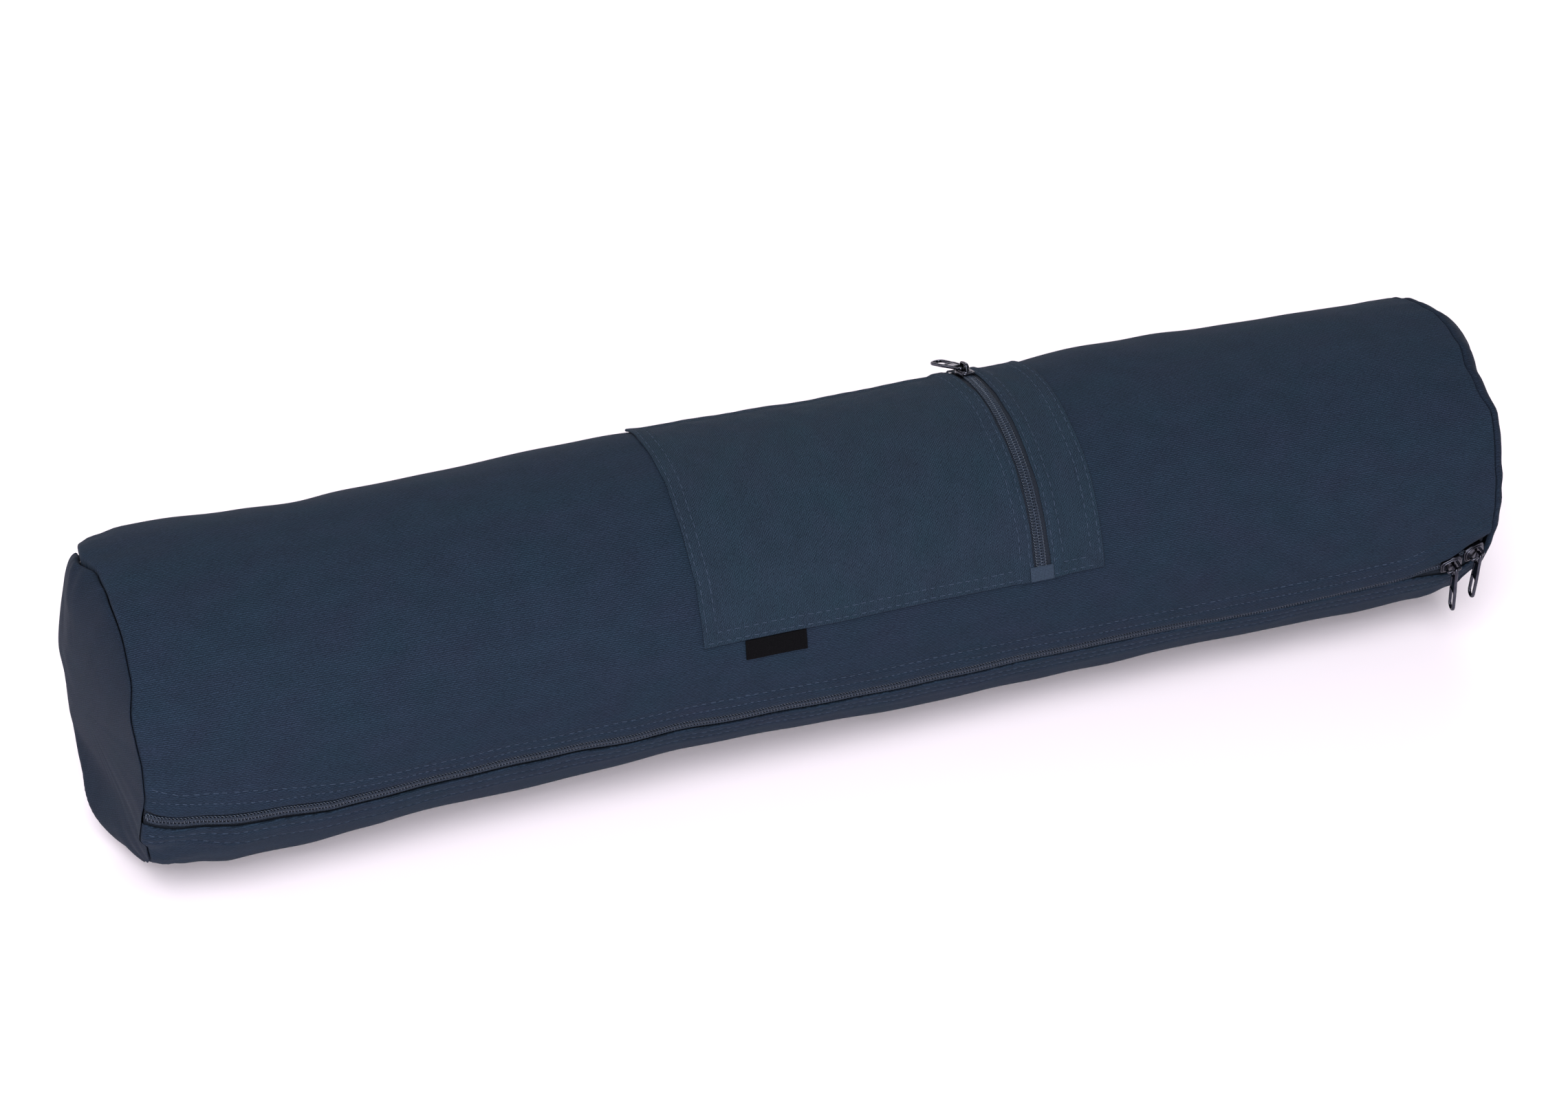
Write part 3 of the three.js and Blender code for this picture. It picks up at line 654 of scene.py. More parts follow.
# Stitches: small rounded threads that dip into the cloth at both ends.
def stitches(name, rows):
    paths, outward = [], []
    rng = np.random.default_rng(len(name))
    share = np.linspace(0, 1, 5)
    for place, height, start, end, length, pause in rows:
        count = int((end - start) / (length + pause))
        for number in range(count):
            slip = rng.normal(0, 0.08, 4)
            first = start + (number + slip[0] * 0.5) * (length + pause)
            t = first + share * length * (1 + slip[1])
            x, angle = place(t)
            lean = (share - 0.5) * 0.3 + slip[2]
            x, angle = x + lean * 0.5, angle + degrees_of(lean * 0.5)
            lift = height(x, angle) + THREAD_RADIUS * 0.5 - STITCH_SINK * np.abs(2 * share - 1) ** 4
            paths.append(surface(x, angle, lift))
            turn = np.radians(angle)
            outward.append(np.stack([x * 0, -np.sin(turn), np.cos(turn)], axis=-1))
    radii = THREAD_RADIUS * np.array([0.5, 0.95, 1, 0.95, 0.5])
    radii = np.broadcast_to(radii, (len(paths), 5))
    points, faces = tube_mesh(np.array(paths), np.array(outward), radii, 6)
    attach(make_piece(name, points, faces, LOOKS["thread"]), "bag")


def groove(distance, depth=0.38, width=0.85):
    return -depth * np.exp(-((distance / width) ** 2))


def row_angle(table):
    return lambda x: np.interp(x, table[:, 0], table[:, 1])


# Tube of the bag

BODY_ROWS = [row_angle(table) for table in (UPPER_FAR_ROW, UPPER_NEAR_ROW, LOWER_NEAR_ROW, LOWER_FAR_ROW)]


def body_height(x, angle):
    height = np.zeros(np.broadcast(x, angle).shape)
    turn = np.mod(angle - 60, 360) + 60
    for number, row in enumerate(BODY_ROWS):
        away = mm_round(turn - row(x))
        height = height + groove(away)
        pucker = np.sin(x / 2.1 + 1.7 * np.sin(x / 13 + number)) * np.exp(-((away / 3.2) ** 2))
        height = height + 0.07 * pucker
    hem = np.minimum(
        np.abs(mm_round(turn - teeth_angle(x)) + slot_half(x, ABOVE)),
        np.abs(mm_round(turn - teeth_angle(x)) - slot_half(x, BELOW)),
    )
    under = mm_round(turn - POCKET_BOTTOM)
    beside = smooth_step(x, POCKET_START, POCKET_START + 8) * (1 - smooth_step(x, STRIP_END - 8, STRIP_END))
    gathers = np.sin(x / 0.9 + 2 * np.sin(x / 7) + under / 2) * np.exp(-(((under - 1.5) / 2.5) ** 2))
    height = height + 0.1 * beside * gathers * (under > -2)
    return height + 0.3 * (1 - smooth_step(hem, 13, 16)) - 0.2 * (1 - smooth_step(hem, 0, 2.2))


def seam_drop(x):
    away = HALF - np.abs(x)
    bend = np.clip(away / SEAM_ROLL, 0, 1)
    return SEAM_ROLL * (1 - np.sqrt(np.clip(1 - (1 - bend) ** 2, 0, 1)))


def body_panel():
    fine = (0, 0.05, 0.2, 0.5, 0.95, 1.5, 2.2, 3.2, 5)
    x = spread_out(-HALF, HALF, 2.85, fine)
    x = np.concatenate([[-HALF + 0.02], x, [HALF - 0.02]])
    start = teeth_angle(x) + degrees_of(slot_half(x, BELOW))
    end = 360 + teeth_angle(x) - degrees_of(slot_half(x, ABOVE))
    near = np.concatenate([[0, 0.12, 0.35, 0.7], np.arange(1.2, 17.5, 0.72)])
    inner = np.linspace(0, 1, 112)[1:-1]
    rows = []
    for first, last in zip(start, end):
        low = first + degrees_of(near)
        high = last - degrees_of(near[::-1])
        rows.append(np.concatenate([low, low[-1] + (high[0] - low[-1]) * inner, high]))
    angle = np.array(rows)
    x = np.broadcast_to(x[:, None], angle.shape)
    outer = body_height(x, angle) - seam_drop(x)
    for end, side in ((0, -1), (-1, 1)):
        outer[end] -= SEAM_DEPTH - SEAM_ROLL + np.maximum(0, seam_lips(angle[end], side, 3))
        outer[end] -= hood(angle[end], side)
    inner_face = np.minimum(outer - CLOTH, -CLOTH)
    piece = cloth_piece("body_cloth_panel", x, angle, outer, inner_face, LOOKS["body_cloth"])
    dress(piece, "body_panel")


# Round ends

def cap_height(folds, share, angle):
    dome = np.sqrt(1 - np.minimum(share, 1) ** 3)
    bend = np.zeros(share.shape)
    for spot, reach, width, depth in folds:
        turn = np.radians(angle - spot)
        away = np.hypot(share * np.cos(turn) - reach, share * np.sin(turn))
        bend += depth * np.exp(-((away / width) ** 2))
    return dome * (1 + bend * dome)


def cap_wrinkles(share, angle, side):
    turn = np.radians(angle)
    points = [share * np.cos(turn) * 74, share * np.sin(turn) * 74, share * 0 + side * 40]
    points = np.stack(points, axis=-1)
    soft = 0.5 * waves(points, 30, 70, 21) + 0.16 * waves(points, 12, 24, 22)
    rim = np.exp(-(((1 - share) / 0.13) ** 2))
    gathers = np.sin(27 * turn + 2 * np.sin(4 * turn)) + 0.5 * np.sin(44 * turn + 1)
    return soft * (1 - share ** 8) + 0.28 * rim * gathers * (1 - share ** 20)


# The left end's front half is drawn tight between its seam and an upright ridge over its middle.
def tight_front(height, share, angle):
    turn = np.radians(angle)
    back, up = -share * np.sin(turn), share * np.cos(turn)
    front = np.sqrt(np.clip(1 - up ** 2, 0, 1))
    tent = (back + front + 0.03) * BAG_RADIUS * (0.192 + 0.04 * up + 0.3 * smooth_step(-up, 0.35, 1))
    soft = 0.4
    both = -soft * np.log(np.exp(-height / soft) + np.exp(-tent / soft))
    return np.minimum(height, both)


def end_cap(word, side):
    steps = np.concatenate([np.linspace(0, 0.9, 48), np.linspace(0.9, 1, 26)[1:]])
    share = np.sin(steps * pi / 2)
    angle = np.arange(0, 360, 2.0)
    share, angle = np.meshgrid(share, angle, indexing="ij")
    height = CAP_BULGE * cap_height(CAP_FOLDS[word], share, angle) + cap_wrinkles(share, angle, side)
    if side < 0:
        height = tight_front(height, share, angle)
    height = np.where(share >= 1, 0, np.maximum(height, 0))
    bend = SEAM_ROLL + seam_lips(angle, side, 3)
    roll = bend * (1 - np.sqrt(np.clip(1 - (1 - np.clip(height / bend, 0, 1)) ** 2, 0, 1)))
    shift = seam_shift(side * HALF + 0 * share, angle) * share ** 5
    layers = []
    for cloth in (0, CLOTH):
        edge = np.linalg.norm(surface(side * HALF, angle, 0)[..., 1:] - [0, AXIS_HEIGHT], axis=-1)
        tuck = hood(angle, side) * smooth_step(share, 0.72, 0.98)
        reach = share * (edge - roll - cloth * (share < 1)) - tuck
        turn = np.radians(angle)
        layers.append(np.stack([
            side * (HALF + SEAM_GAP + np.maximum(height - cloth * np.clip(height / 3, 0, 1), 0)) + shift,
            -np.sin(turn) * reach,
            AXIS_HEIGHT + np.cos(turn) * reach,
        ], axis=-1))
    rings, around = share.shape
    number = rings * around
    index = np.arange(number).reshape(rings, around)
    index = np.concatenate([index, index[:, :1]], axis=1)
    low = np.concatenate([index[:-1] + number, index[-1:]])
    points = np.concatenate([layer.reshape(-1, 3) for layer in layers])
    faces = np.concatenate([grid_faces(index[1:], side > 0), grid_faces(low[1:], side < 0)]).tolist()
    for ring, base in ((index[1], side > 0), (low[1], side < 0)):
        fan = ring[:-1].tolist()
        faces.append(fan[::-1] if base else fan)
    plan = np.stack([points[:, 1], points[:, 2]], axis=-1) @ np.array([[0.82, 0.57], [-0.57, 0.82]])
    # The ends wear the darker copy of the cloth, which carries painted shade.
    piece = make_piece(f"{word}_end_cloth", points, faces, LOOKS["cap_cloth"], plan)
    dress(piece, f"{word}_end_cap")


# Main zip

def chain_rise(x):
    return CHAIN_RISE * (1 - smooth_step(x, 282, 309))


def zip_point(x, side, distance, height):
    return surface(x, teeth_angle(x) + side * degrees_of(distance), COIL_OUTER + chain_rise(x) + height)


def main_tape(word, side, column):
    x = spread_out(-ZIP_HALF, ZIP_HALF, 3, (0, 0.2, 0.6, 1.2))
    near = chain_opening(x)
    foot = near + COIL_WIDTH + 1.3
    shoulder = foot + 1.6
    edge = np.maximum(shoulder, slot_half(x, column)) + TAPE_COVER
    floor = TAPE_FLOOR + chain_rise(x)
    profile = [(near + 0.05, floor), (near + 0.4, floor), ((near + foot) / 2, floor)]
    profile += [(foot - 0.5, floor), (foot, floor + 0.03), (foot + 0.4, floor + 0.12)]
    profile += [((foot + shoulder) / 2, (floor + TAPE_WING) / 2), (shoulder - 0.4, TAPE_WING - 0.2)]
    profile += [(shoulder, TAPE_WING - 0.1)]
    profile += [(along, TAPE_WING) for along in (shoulder + 0.6, (shoulder + edge) / 2, edge - 0.4, edge)]
    spread = [[np.broadcast_to(value, x.shape) for value in pair] for pair in profile]
    distance, outer = (np.stack(values, axis=1) for values in zip(*spread))
    x = np.broadcast_to(x[:, None], distance.shape)
    if side < 0:
        distance, outer = distance[:, ::-1], outer[:, ::-1]
    angle = teeth_angle(x) + side * degrees_of(distance)
    piece = cloth_piece(f"main_tape_{word}_cloth", x, angle, outer, outer - TAPE_THICKNESS,
                        LOOKS["zip_tape"], 0.3)
    dress(piece, f"main_zip_{word}_tape")


# One turn of the coil: distance from the teeth line, height and step along the zip, in wire paths.
def coil_path(width, thickness, wire, pitch):
    top, bottom = -wire, wire - thickness
    middle = -thickness / 2
    root = width - wire
    return np.array([
        (root - 0.25, top - 0.1, 0),
        (width * 0.45, top, 0),
        (0.12, top + 0.02, 0),
        (-0.42, middle + 0.12, 0),
        (-0.42, middle - 0.12, 0.02),
        (0.12, bottom, 0.02),
        (width * 0.45, bottom, 0.02),
        (root - 0.25, bottom + 0.1, 0.06 * pitch),
        (root + 0.05, middle, pitch * 0.5),
    ])


def coil(name, node, locate, start, end, width, thickness, wire, pitch, opening):
    turn = coil_path(width, thickness, wire, pitch)
    count = int((end - start) / pitch) - 1
    first = start + np.arange(count) * pitch
    along = first[:, None] + turn[:, 2]
    distance = opening(along) + turn[:, 0]
    height = np.broadcast_to(turn[:, 1], along.shape)
    path = locate(along, distance, height).reshape(1, -1, 3)
    nearby = locate(along + 0.5, distance, height).reshape(1, -1, 3) - path
    wide = np.broadcast_to(wire * np.array([1, 1, 1.08, 1.18, 1.18, 1.08, 1, 1, 1]), along.shape)
    points, faces = tube_mesh(path, nearby, wide.reshape(1, -1), 6)
    dress(make_piece(name, points, faces, LOOKS["zip_coil"]), node)


# The sewing that holds a row of teeth to its tape: short threads over every turn.
def coil_sewing(name, locate, start, end, pitch, places, opening, radius):
    paths, outward = [], []
    for distance in places:
        count = int((end - start) / pitch) - 1
        first = start + (np.arange(count) + 0.5) * pitch
        share = np.linspace(-0.5, 0.5, 4)
        along = first[:, None] + share * pitch * 1.02
        rise = np.array([0.02, -0.3, -0.3, 0.02]) * radius * 2
        spot = opening(along) + distance + 0 * along
        path = locate(along, spot, np.broadcast_to(rise, along.shape))
        paths.append(path)
        outward.append(locate(along, spot, rise + 1.0) - path)
    paths, outward = np.concatenate(paths), np.concatenate(outward)
    radii = np.broadcast_to(radius * np.array([1, 0.85, 0.85, 1]), paths.shape[:2])
    points, faces = tube_mesh(paths, outward, radii, 5)
    piece = make_piece(name, points, faces, LOOKS["coil_thread"])
    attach(piece, "bag")


def main_zip():
    for word, side, column, step in (("upper", -1, ABOVE, 0), ("lower", 1, BELOW, 0.5)):
        def locate(along, distance, height, side=side):
            return zip_point(along, side, distance, height)
        main_tape(word, side, column)
        start = -ZIP_HALF + 0.8 + step * TOOTH_PITCH
        coil(f"main_coil_{word}_turns", f"main_zip_{word}_coil", locate, start, ZIP_HALF - 0.4,
             COIL_WIDTH, COIL_THICKNESS, TOOTH_WIRE, TOOTH_PITCH, chain_opening)
        coil_sewing(f"main_coil_{word}_sewing", locate, start, ZIP_HALF - 1, TOOTH_PITCH,
                    (1.0, 1.75), chain_opening, 0.24)


# Pocket

def pocket_edge_left(angle):
    near = smooth_step(np.abs(angle - POCKET_SLIDER_ANGLE), 10, 17)
    wave = 0.16 * np.sin(angle / 4.1) + 0.12 * np.sin(angle / 1.9 + 1)
    return POCKET_ZIP - POCKET_SLOT_HALF + near * (1.25 + wave)


def pocket_edge_right(angle):
    near = smooth_step(np.abs(angle - POCKET_SLIDER_ANGLE), 10, 17)
    wave = 0.16 * np.sin(angle / 3.7 + 2) + 0.12 * np.sin(angle / 2.1)
    return POCKET_ZIP + POCKET_SLOT_HALF + near * wave


POCKET_SEW = (1.9, 6.6)


# Outer height of the pocket's cloth: flat cloth, folded hems, a rise over the zip's tapes and
# grooves along the stitch rows.
def pocket_height(x, angle):
    shape = np.broadcast(x, angle).shape
    x = np.broadcast_to(x, shape)
    angle = np.broadcast_to(angle, shape)
    panel = x < POCKET_ZIP
    left = np.where(panel, x - POCKET_START, x - pocket_edge_right(angle))
    right = np.where(panel, pocket_edge_left(angle) - x, STRIP_END - x)
    bottom = mm_round(POCKET_BOTTOM - angle)
    top = mm_round(angle - POCKET_TOP)
    edges = np.minimum.reduce([left, right, bottom, top])
    height = 1.35 + HEM_RISE * (1 - smooth_step(edges, 7.6, 9.4))
    away = np.abs(x - POCKET_ZIP)
    height = height + 0.75 * (1 - smooth_step(away, POCKET_TAPE_HALF - 0.6, POCKET_TAPE_HALF + 2.5))
    for side in (left, right, bottom, top):
        sides = [other for other in (left, right, bottom, top) if other is not side]
        inside = np.minimum.reduce(sides)
        for row in POCKET_SEW:
            held = smooth_step(inside, row - 1.2, row)
            height = height + groove(side - row) * held
            pucker = np.sin((x + mm_round(angle)) / 1.9 + 1.3 * np.sin(x / 11 + angle / 9))
            height = height + 0.06 * pucker * np.exp(-(((side - row) / 2.6) ** 2))
    points = on_round(x, angle)
    return height + 0.1 * waves(points, 9, 20, 31) * smooth_step(edges, 2, 12)


def pocket_cloth(name, node, left, right, flat, pitch_x):
    rows = spread_out(mm_round(POCKET_TOP), mm_round(POCKET_BOTTOM), 0.95)
    angle = degrees_of(rows)
    share = spread_out(0, flat, pitch_x) / flat
    first, last = left(angle), right(angle)
    x = first[None, :] + (last - first)[None, :] * share[:, None]
    angle = np.broadcast_to(angle[None, :], x.shape)
    outer = pocket_height(x, angle)
    over_tape = 1 - smooth_step(np.abs(x - POCKET_ZIP), POCKET_TAPE_HALF - 0.4, POCKET_TAPE_HALF + 1.4)
    inner = 0.35 + 0.4 * over_tape * 3
    inner = np.minimum(inner, outer - 0.7)
    piece = cloth_piece(name, x, angle, outer, inner, LOOKS["pocket_cloth"], 0.9, True)
    dress(piece, node)
    return piece


def pocket_start(angle):
    return POCKET_START + 0.3 * np.sin(angle / 7.3) + 0.15 * np.sin(angle / 2.9 + 2)


def strip_end(angle):
    return STRIP_END + 0.25 * np.sin(angle / 6.1 + 1)


def pocket_zip_point(along, side, distance, height):
    offset = POCKET_FLOOR + POCKET_COIL_THICKNESS + height
    return surface(POCKET_ZIP + side * distance, degrees_of(along), offset)


def pocket_zip():
    low, high = mm_round(POCKET_TOP), mm_round(POCKET_BOTTOM)
    for word, side, step in (("left", -1, 0), ("right", 1, 0.5)):
        def locate(along, distance, height, side=side):
            return pocket_zip_point(along, side, distance, height)

        def opening(along):
            return CHAIN_GAP / 2 + 0 * along
        start = low + 0.6 + step * POCKET_TOOTH_PITCH
        coil(f"pocket_coil_{word}_turns", f"pocket_zip_{word}_coil", locate, start, high - 1.2,
             POCKET_COIL_WIDTH, POCKET_COIL_THICKNESS, POCKET_TOOTH_WIRE, POCKET_TOOTH_PITCH, opening)
        coil_sewing(f"pocket_coil_{word}_sewing", locate, start, high - 1.5, POCKET_TOOTH_PITCH,
                    (0.9, 1.6), opening, 0.22)
        ends = np.sort([POCKET_ZIP + side * CHAIN_GAP / 2, POCKET_ZIP + side * POCKET_TAPE_HALF])
        x = spread_out(ends[0], ends[1], 1.2, (0, 0.15, 0.4))
        angle = degrees_of(spread_out(low, high, 2.2, (0, 0.15, 0.4)))
        x, angle = np.meshgrid(x, angle, indexing="ij")
        tape = cloth_piece(f"pocket_tape_{word}_cloth", x, angle, POCKET_TAPE_OUTER, 0.5,
                           LOOKS["zip_tape"], 0.3, True)
        dress(tape, f"pocket_zip_{word}_tape")


def small_patch(name, node, x_range, s_range, outer, inner, look, pitch, waver):
    x = spread_out(*x_range, pitch)
    angle = degrees_of(spread_out(*s_range, pitch))
    x, angle = np.meshgrid(x, angle, indexing="ij")
    bend = waver * waves(on_round(x, angle), 9, 22, 41)
    piece = cloth_piece(name, x, angle, outer + bend, inner + bend, look, 0.35)
    dress(piece, node)
    return piece


def pocket():
    panel = pocket_cloth("pocket_front_cloth", "pocket_panel", pocket_start, pocket_edge_left, 165, 1.05)
    strip = pocket_cloth("pocket_strip_cloth", "pocket_strip", pocket_edge_right, strip_end, 28, 0.9)
    pocket_zip()
    low = mm_round(POCKET_BOTTOM)
    tab = small_patch("zip_end_cloth", "pocket_zip_end_tab", (POCKET_ZIP - 6, POCKET_ZIP + 6),
                      (low - 7, low - 0.1), 3.0, 2.0, LOOKS["end_tape"], 0.6, 0.06)
    start = POCKET_START + 20
    label = small_patch("side_label_cloth", "side_label", (start, start + 30),
                        (low + 0.3, low + 10.3), 1.25, 0.5, LOOKS["label"], 0.7, 0.1)


def along_angle(place):
    return lambda t: (place(degrees_of(t)) + 0 * t, degrees_of(t))


def along_x(angle):
    return lambda t: (t, angle + 0 * t)


def sewing():
    rows = []
    for number, row in enumerate(BODY_ROWS):
        length, pause = ((3.0, 1.3), (2.0, 1.2), (2.8, 1.4), (2.8, 1.4))[number]
        last = 304 if number < 2 else HALF - 3
        rows.append((lambda t, row=row: (t, row(t)), body_height, -HALF + 2.5, last, length, pause))
    stitches("main_zip_stitches", rows)
    rows = []
    low, high = mm_round(POCKET_TOP), mm_round(POCKET_BOTTOM)
    for row in POCKET_SEW:
        for place in (
            lambda angle, row=row: pocket_start(angle) + row,
            lambda angle, row=row: pocket_edge_left(angle) - row,
            lambda angle, row=row: pocket_edge_right(angle) + row,
            lambda angle, row=row: strip_end(angle) - row,
        ):
            rows.append((along_angle(place), pocket_height, low + row, high - row, 3.2, 1.2))
        left_edge, right_edge = POCKET_ZIP - POCKET_SLOT_HALF, POCKET_ZIP + POCKET_SLOT_HALF
        for start, end in ((POCKET_START, left_edge), (right_edge, STRIP_END)):
            for angle in (POCKET_BOTTOM - degrees_of(row), POCKET_TOP + degrees_of(row)):
                rows.append((along_x(angle), pocket_height, start + row, end - row, 3.2, 1.2))
    stitches("pocket_stitches", rows)


# Metal parts

# A flat plate with rounded edges from one or more outlines, the first outside, the rest holes.
def plate(outlines, thickness, bevel):
    curve = bpy.data.curves.new("outline", "CURVE")
    curve.dimensions = "2D"
    curve.fill_mode = "BOTH"
    curve.extrude = thickness / 2 - bevel
    curve.bevel_depth = bevel
    curve.bevel_resolution = 3
    curve.offset = -bevel
    for outline in outlines:
        spline = curve.splines.new("POLY")
        spline.points.add(len(outline) - 1)
        spline.use_cyclic_u = True
        for point, (x, y) in zip(spline.points, outline):
            point.co = (x, y, 0, 1)
    holder = bpy.data.objects.new("outline", curve)
    bpy.context.scene.collection.objects.link(holder)
    mesh = bpy.data.meshes.new_from_object(holder)
    points = np.array([tuple(vertex.co) for vertex in mesh.vertices])
    faces = [tuple(polygon.vertices) for polygon in mesh.polygons]
    bpy.data.objects.remove(holder)
    bpy.data.curves.remove(curve)
    bpy.data.meshes.remove(mesh)
    return points, faces


def rounded_outline(corners, radii, steps=5):
    outline = []
    count = len(corners)
    for number, (corner, radius) in enumerate(zip(corners, radii)):
        here = np.array(corner, float)
        before = np.array(corners[number - 1], float) - here
        after = np.array(corners[(number + 1) % count], float) - here
        if radius <= 0:
            outline.append(tuple(here))
            continue
        reach = min(radius, np.linalg.norm(before) * 0.49, np.linalg.norm(after) * 0.49)
        first = here + before / np.linalg.norm(before) * reach
        last = here + after / np.linalg.norm(after) * reach
        for step in np.linspace(0, 1, steps):
            point = (1 - step) ** 2 * first + 2 * step * (1 - step) * here + step ** 2 * last
            outline.append(tuple(point))
    return outline


# An outline that is the same on both sides of its own x axis, from one side's corners.
def mirrored_outline(half, radii, steps=5):
    corners = [(x, -y) for x, y in half] + [(x, y) for x, y in reversed(half)]
    return rounded_outline(corners, [*radii, *reversed(radii)], steps)


def join(parts):
    points, faces, start = [], [], 0
    for part_points, part_faces in parts:
        points.append(part_points)
        faces += [tuple(corner + start for corner in face) for face in part_faces]
        start += len(part_points)
    return np.concatenate(points), faces


def moved(part, axes, origin):
    points, faces = part
    return points @ np.array(axes) + np.array(origin), faces


UPRIGHT = ((1, 0, 0), (0, 1, 0), (0, 0, 1))
ON_EDGE = ((1, 0, 0), (0, 0, 1), (0, -1, 0))


def slider_outline(tail, nose, inset):
    front = SLIDER_LENGTH / 2 - inset
    tail, nose = tail - inset, nose - inset
    return mirrored_outline([(-front, tail), (front * 0.2, nose), (front, nose * 0.8)], (1.9, 2.2, 3.6), 8)


def slider_rim(tail, nose, height, side):
    front = SLIDER_LENGTH / 2
    corners = [(1 - front, side * (tail - 0.7)), (1 - front, side * (tail + 0.1)),
               (front * 0.2, side * nose), (front * 0.8, side * nose * 0.9),
               (front * 0.8, side * (nose * 0.9 - 0.7)), (front * 0.2, side * (nose - 0.7))]
    if side < 0:
        corners.reverse()
    return plate([rounded_outline(corners, [0.25] * 6, 3)], height, 0.22)


# Front plate with a raised face, rims round the teeth and the bridge that carries the pull.
def slider_front(tail, nose, rim_height):
    face = PLATE_LIFT + PLATE_THICKNESS
    parts = [moved(plate([slider_outline(tail, nose, 0)], PLATE_THICKNESS, 0.42), UPRIGHT,
                   (0, 0, PLATE_LIFT + PLATE_THICKNESS / 2))]
    parts.append(moved(plate([slider_outline(tail, nose, 1.0)], 0.9, 0.42), UPRIGHT, (0, 0, face)))
    for side in (-1, 1):
        rim = slider_rim(tail, nose, rim_height + 0.5, side)
        parts.append(moved(rim, UPRIGHT, (0, 0, PLATE_LIFT + 0.4 - rim_height / 2)))
    half, top = ARCH_LENGTH / 2, ARCH_OPENING + 1
    outside = rounded_outline([(-half, -0.4), (half, -0.4), (half - 0.3, top), (0.3 - half, top)],
                              (0, 0, 1.7, 1.7), 7)
    inner = half - 1.2
    corners = [(-inner, 0.1), (inner, 0.1), (inner - 0.2, ARCH_OPENING), (0.2 - inner, ARCH_OPENING)]
    window = rounded_outline(corners, (0.2, 0.2, 0.9, 0.9), 5)
    parts.append(moved(plate([outside, window], ARCH_WIDTH + 0.3, 0.48), ON_EDGE, (0, 0, face)))
    return parts


def main_slider_parts():
    parts = slider_front(TAIL_HALF, NOSE_HALF, 1.55)
    back_top = -3.5
    parts.append(moved(plate([slider_outline(TAIL_HALF, NOSE_HALF, 0.3)], PLATE_THICKNESS, 0.4), UPRIGHT,
                       (0, 0, back_top - PLATE_THICKNESS / 2)))
    post = mirrored_outline([(-1.1, 0.8), (1.1, 0.8)], (0.5, 0.5))
    parts.append(moved(plate([post], 4.6, 0.1), UPRIGHT, (3.8, 0, back_top / 2 + 0.3)))
    return join(parts)


# The pull: an eye at one end, a ribbed flat in the middle and an open loop at the tip.
def pull_parts():
    start = -PULL_EYE_BAR / 2
    tip = start + PULL_LENGTH
    end_half, loop_half = PULL_END_WIDTH / 2, PULL_LOOP_WIDTH / 2
    eye_half, eye_end = PULL_EYE_WIDTH / 2, PULL_EYE_BAR / 2 + PULL_EYE_LENGTH
    loop_start = tip - 1.4 - PULL_LOOP_LENGTH
    sides = [(start, end_half), (eye_end, end_half), (loop_start, loop_half), (tip, loop_half)]
    outside = mirrored_outline(sides, (1.8, 1.4, 1.6, 3.8), 8)
    eye = mirrored_outline([(PULL_EYE_BAR / 2, eye_half), (eye_end, eye_half)], (0.8, 0.8))
    inner = loop_half - 1.4
    loop = mirrored_outline([(loop_start + 0.4, inner), (tip - 1.4, inner)], (0.9, 2.3), 7)
    field_start, field_end = eye_end + 1.3, loop_start - 0.9
    field = mirrored_outline([(field_start, end_half - 1.15), (field_end, loop_half - 1.35)], (0.7, 0.7))
    sides = [(field_start - 0.5, end_half - 0.7), (field_end + 0.5, loop_half - 0.8)]
    wide = mirrored_outline(sides, (0.7, 0.7))
    parts = [plate([outside, eye, loop, field], PULL_THICKNESS, 0.55), plate([wide], 0.9, 0.2)]
    return join(parts)


def metal_piece(name, part, axes, origin, body, node):
    points, faces = moved(part, axes, origin)
    piece = make_piece(name, points, faces, LOOKS["zip_metal"])
    soften = piece.modifiers.new("soft_edges", "EDGE_SPLIT")
    soften.split_angle = radians(50)
    dress(piece, node, body)


def sliders():
    for word, place, nose, lean in zip(("left", "right"), SLIDER_PLACES, (1, -1), MAIN_PULL_LEANS):
        origin, (along, across, out) = main_slider_frame(place)
        metal_piece(f"main_slider_{word}_metal", main_slider_parts(), (along * nose, across * nose, out),
                    origin, "bag", f"main_slider_{word}")
        pivot = origin + out * ARCH_CENTRE
        down = np.array([sin(radians(lean)), 0, -cos(radians(lean))])
        yaw = radians(MAIN_PULL_YAW)
        front = np.array([-sin(yaw), -cos(yaw), 0.0])
        front -= down * (front @ down)
        front /= np.linalg.norm(front)
        eye = pivot - down * ((ARCH_WIDTH + PULL_EYE_BAR) / 2 + PULL_HANG)
        metal_piece(f"main_pull_{word}_metal", pull_parts(), (down, front, np.cross(down, front)),
                    eye, f"{word}_pull", f"main_pull_{word}")
    along, across, out = surface_axes(POCKET_SLIDER_ANGLE, np.array([1.0, 0, 0]))
    origin = surface(POCKET_ZIP, POCKET_SLIDER_ANGLE, POCKET_FLOOR + POCKET_COIL_THICKNESS, True)
    front = join(slider_front(POCKET_TAIL_HALF - 0.4, POCKET_NOSE_HALF - 0.3, 1.15))
    axes = (across, -along, np.cross(across, -along))
    metal_piece("pocket_slider_metal", front, axes, origin, "bag", "pocket_slider")
    yaw, pitch = radians(POCKET_PULL_YAW), radians(POCKET_PULL_PITCH)
    back = across * cos(yaw) + np.cross(out, across) * sin(yaw)
    hinge = np.cross(back, out)
    reach = back * cos(pitch) - np.cross(hinge, back) * sin(pitch)
    metal_piece("pocket_pull_metal", pull_parts(), (reach, -hinge, np.cross(reach, -hinge)),
                origin + out * POCKET_PULL_RISE, "top_pull", "pocket_pull")


# Floor, light and camera

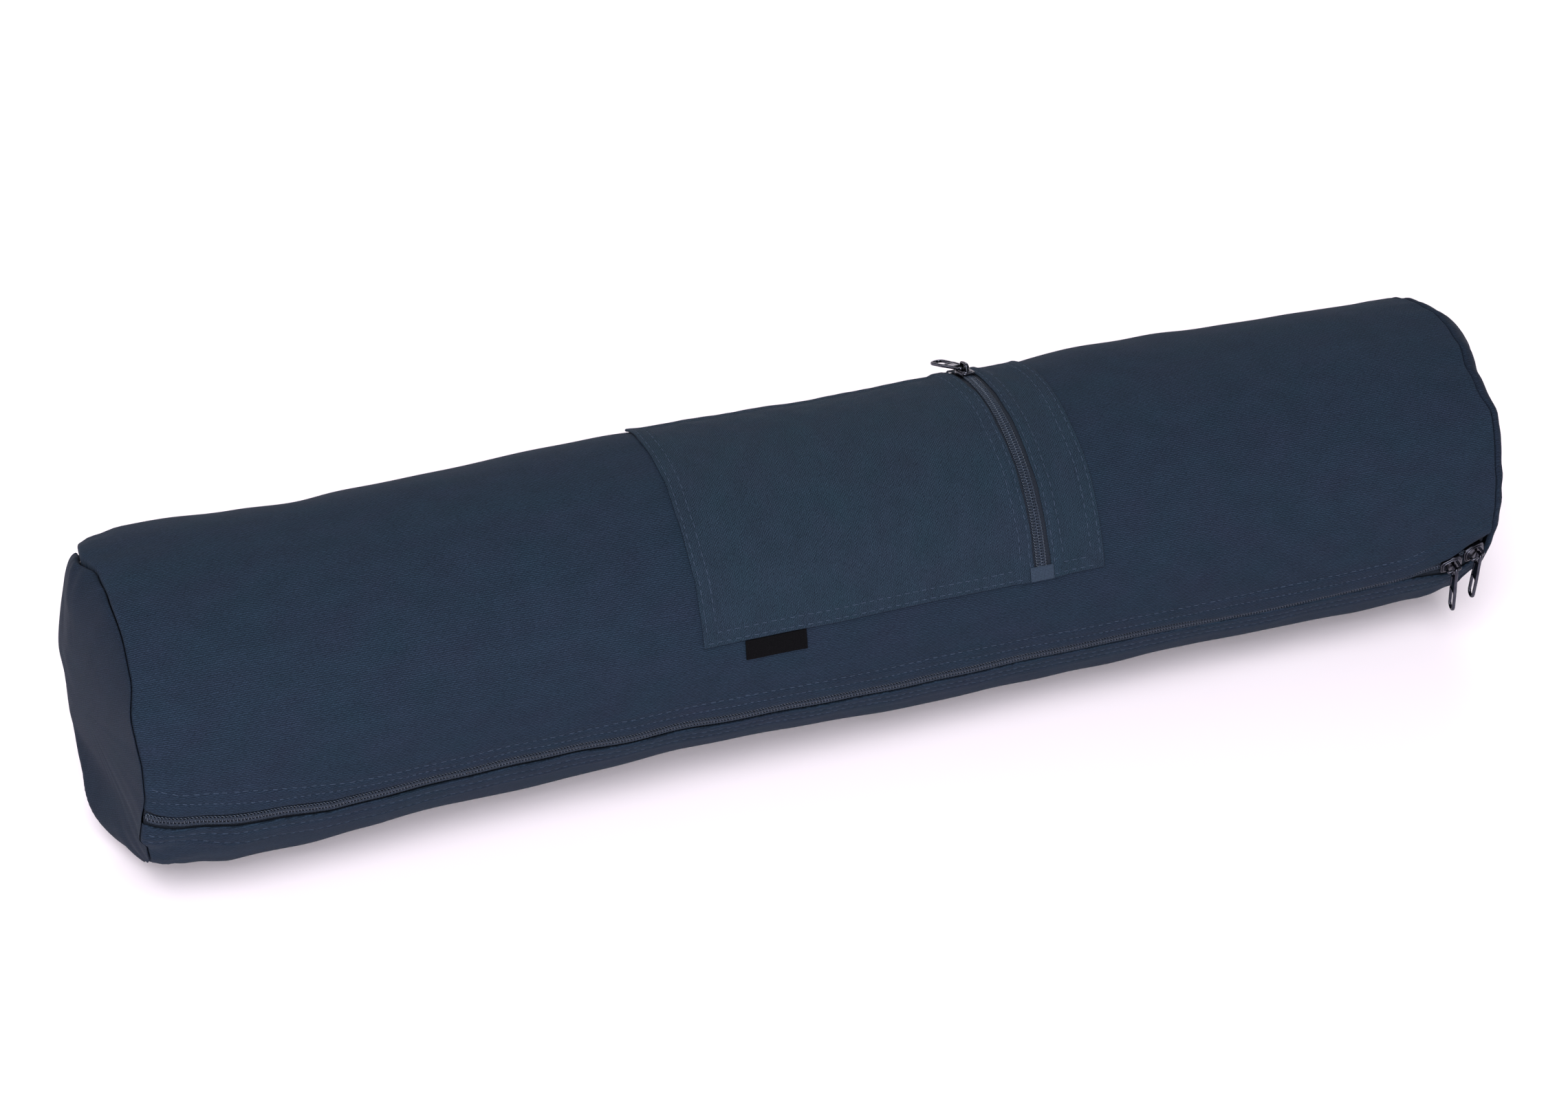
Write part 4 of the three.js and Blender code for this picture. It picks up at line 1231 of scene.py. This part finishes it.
def stage():
    mesh = bpy.data.meshes.new("white_floor")
    half = 9
    corners = [(-half, -half, 0), (half, -half, 0), (half, half, 0), (-half, half, 0)]
    mesh.from_pydata(corners, [], [(0, 1, 2, 3)])
    floor = bpy.data.objects.new("white_floor", mesh)
    bpy.context.scene.collection.objects.link(floor)
    look, tree, shader = new_look("white_floor")
    soft = object_noise(tree, 3)
    colour = mix_colours(tree, ramp(tree, soft, 0.3, 0.7), (0.96, 0.88, 0.955, 1), (0.98, 0.9, 0.975, 1))
    tree.links.new(colour, shader.inputs["Base Color"])
    shader.inputs["Roughness"].default_value = 0.9
    shader.inputs["Specular IOR Level"].default_value = 0.1
    mesh.materials.append(look)


def area_light(name, place, target, size, power, colour=(1, 1, 1)):
    light = bpy.data.lights.new(name, "AREA")
    light.shape = "RECTANGLE"
    light.size, light.size_y = size
    light.energy = power
    light.color = colour
    holder = bpy.data.objects.new(name, light)
    bpy.context.scene.collection.objects.link(holder)
    holder.location = place
    holder.rotation_euler = (Vector(target) - Vector(place)).to_track_quat("-Z", "Y").to_euler()


def lights():
    world = bpy.data.worlds.new("studio")
    bpy.context.scene.world = world
    world.use_nodes = True
    world.node_tree.nodes["Background"].inputs[0].default_value = (0.97, 0.98, 1.0, 1)
    world.node_tree.nodes["Background"].inputs[1].default_value = 0.24
    area_light("key_box", (-0.62, -1.3, 2.2), (0, 0, 0.05), (1.9, 1.5), 54)
    area_light("fill_box", (-0.75, -2.05, 1.05), (0, 0, 0.05), (1.5, 0.8), 43)
    area_light("left_box", (-1.8, 1.2, 0.45), (-0.34, 0, 0.08), (0.7, 0.5), 6)
    area_light("back_box", (0.4, 3.4, 2.6), (0.6, 4.2, 0), (5.0, 2.4), 260)
    area_light("edge_box", (2.0, -0.9, 0.8), (0.2, 0, 0.05), (0.4, 1.2), 5)


def camera():
    turn, tilt = radians(CAMERA_AZIMUTH), radians(CAMERA_ELEVATION)
    back = Vector((-sin(turn) * cos(tilt), -cos(turn) * cos(tilt), sin(tilt)))
    data = bpy.data.cameras.new("camera")
    data.lens = CAMERA_LENS
    data.sensor_width = 36
    data.clip_end = 50
    holder = bpy.data.objects.new("camera", data)
    bpy.context.scene.collection.objects.link(holder)
    holder.location = (Vector(CAMERA_TARGET) + back * CAMERA_DISTANCE) / 1000
    holder.rotation_euler = (-back).to_track_quat("-Z", "Y").to_euler()
    bpy.context.scene.camera = holder
    bpy.context.scene.view_settings.view_transform = "Standard"


end_cap("left", -1)
end_cap("right", 1)
body_panel()
main_zip()
pocket()
sewing()
sliders()
stage()
lights()
camera()
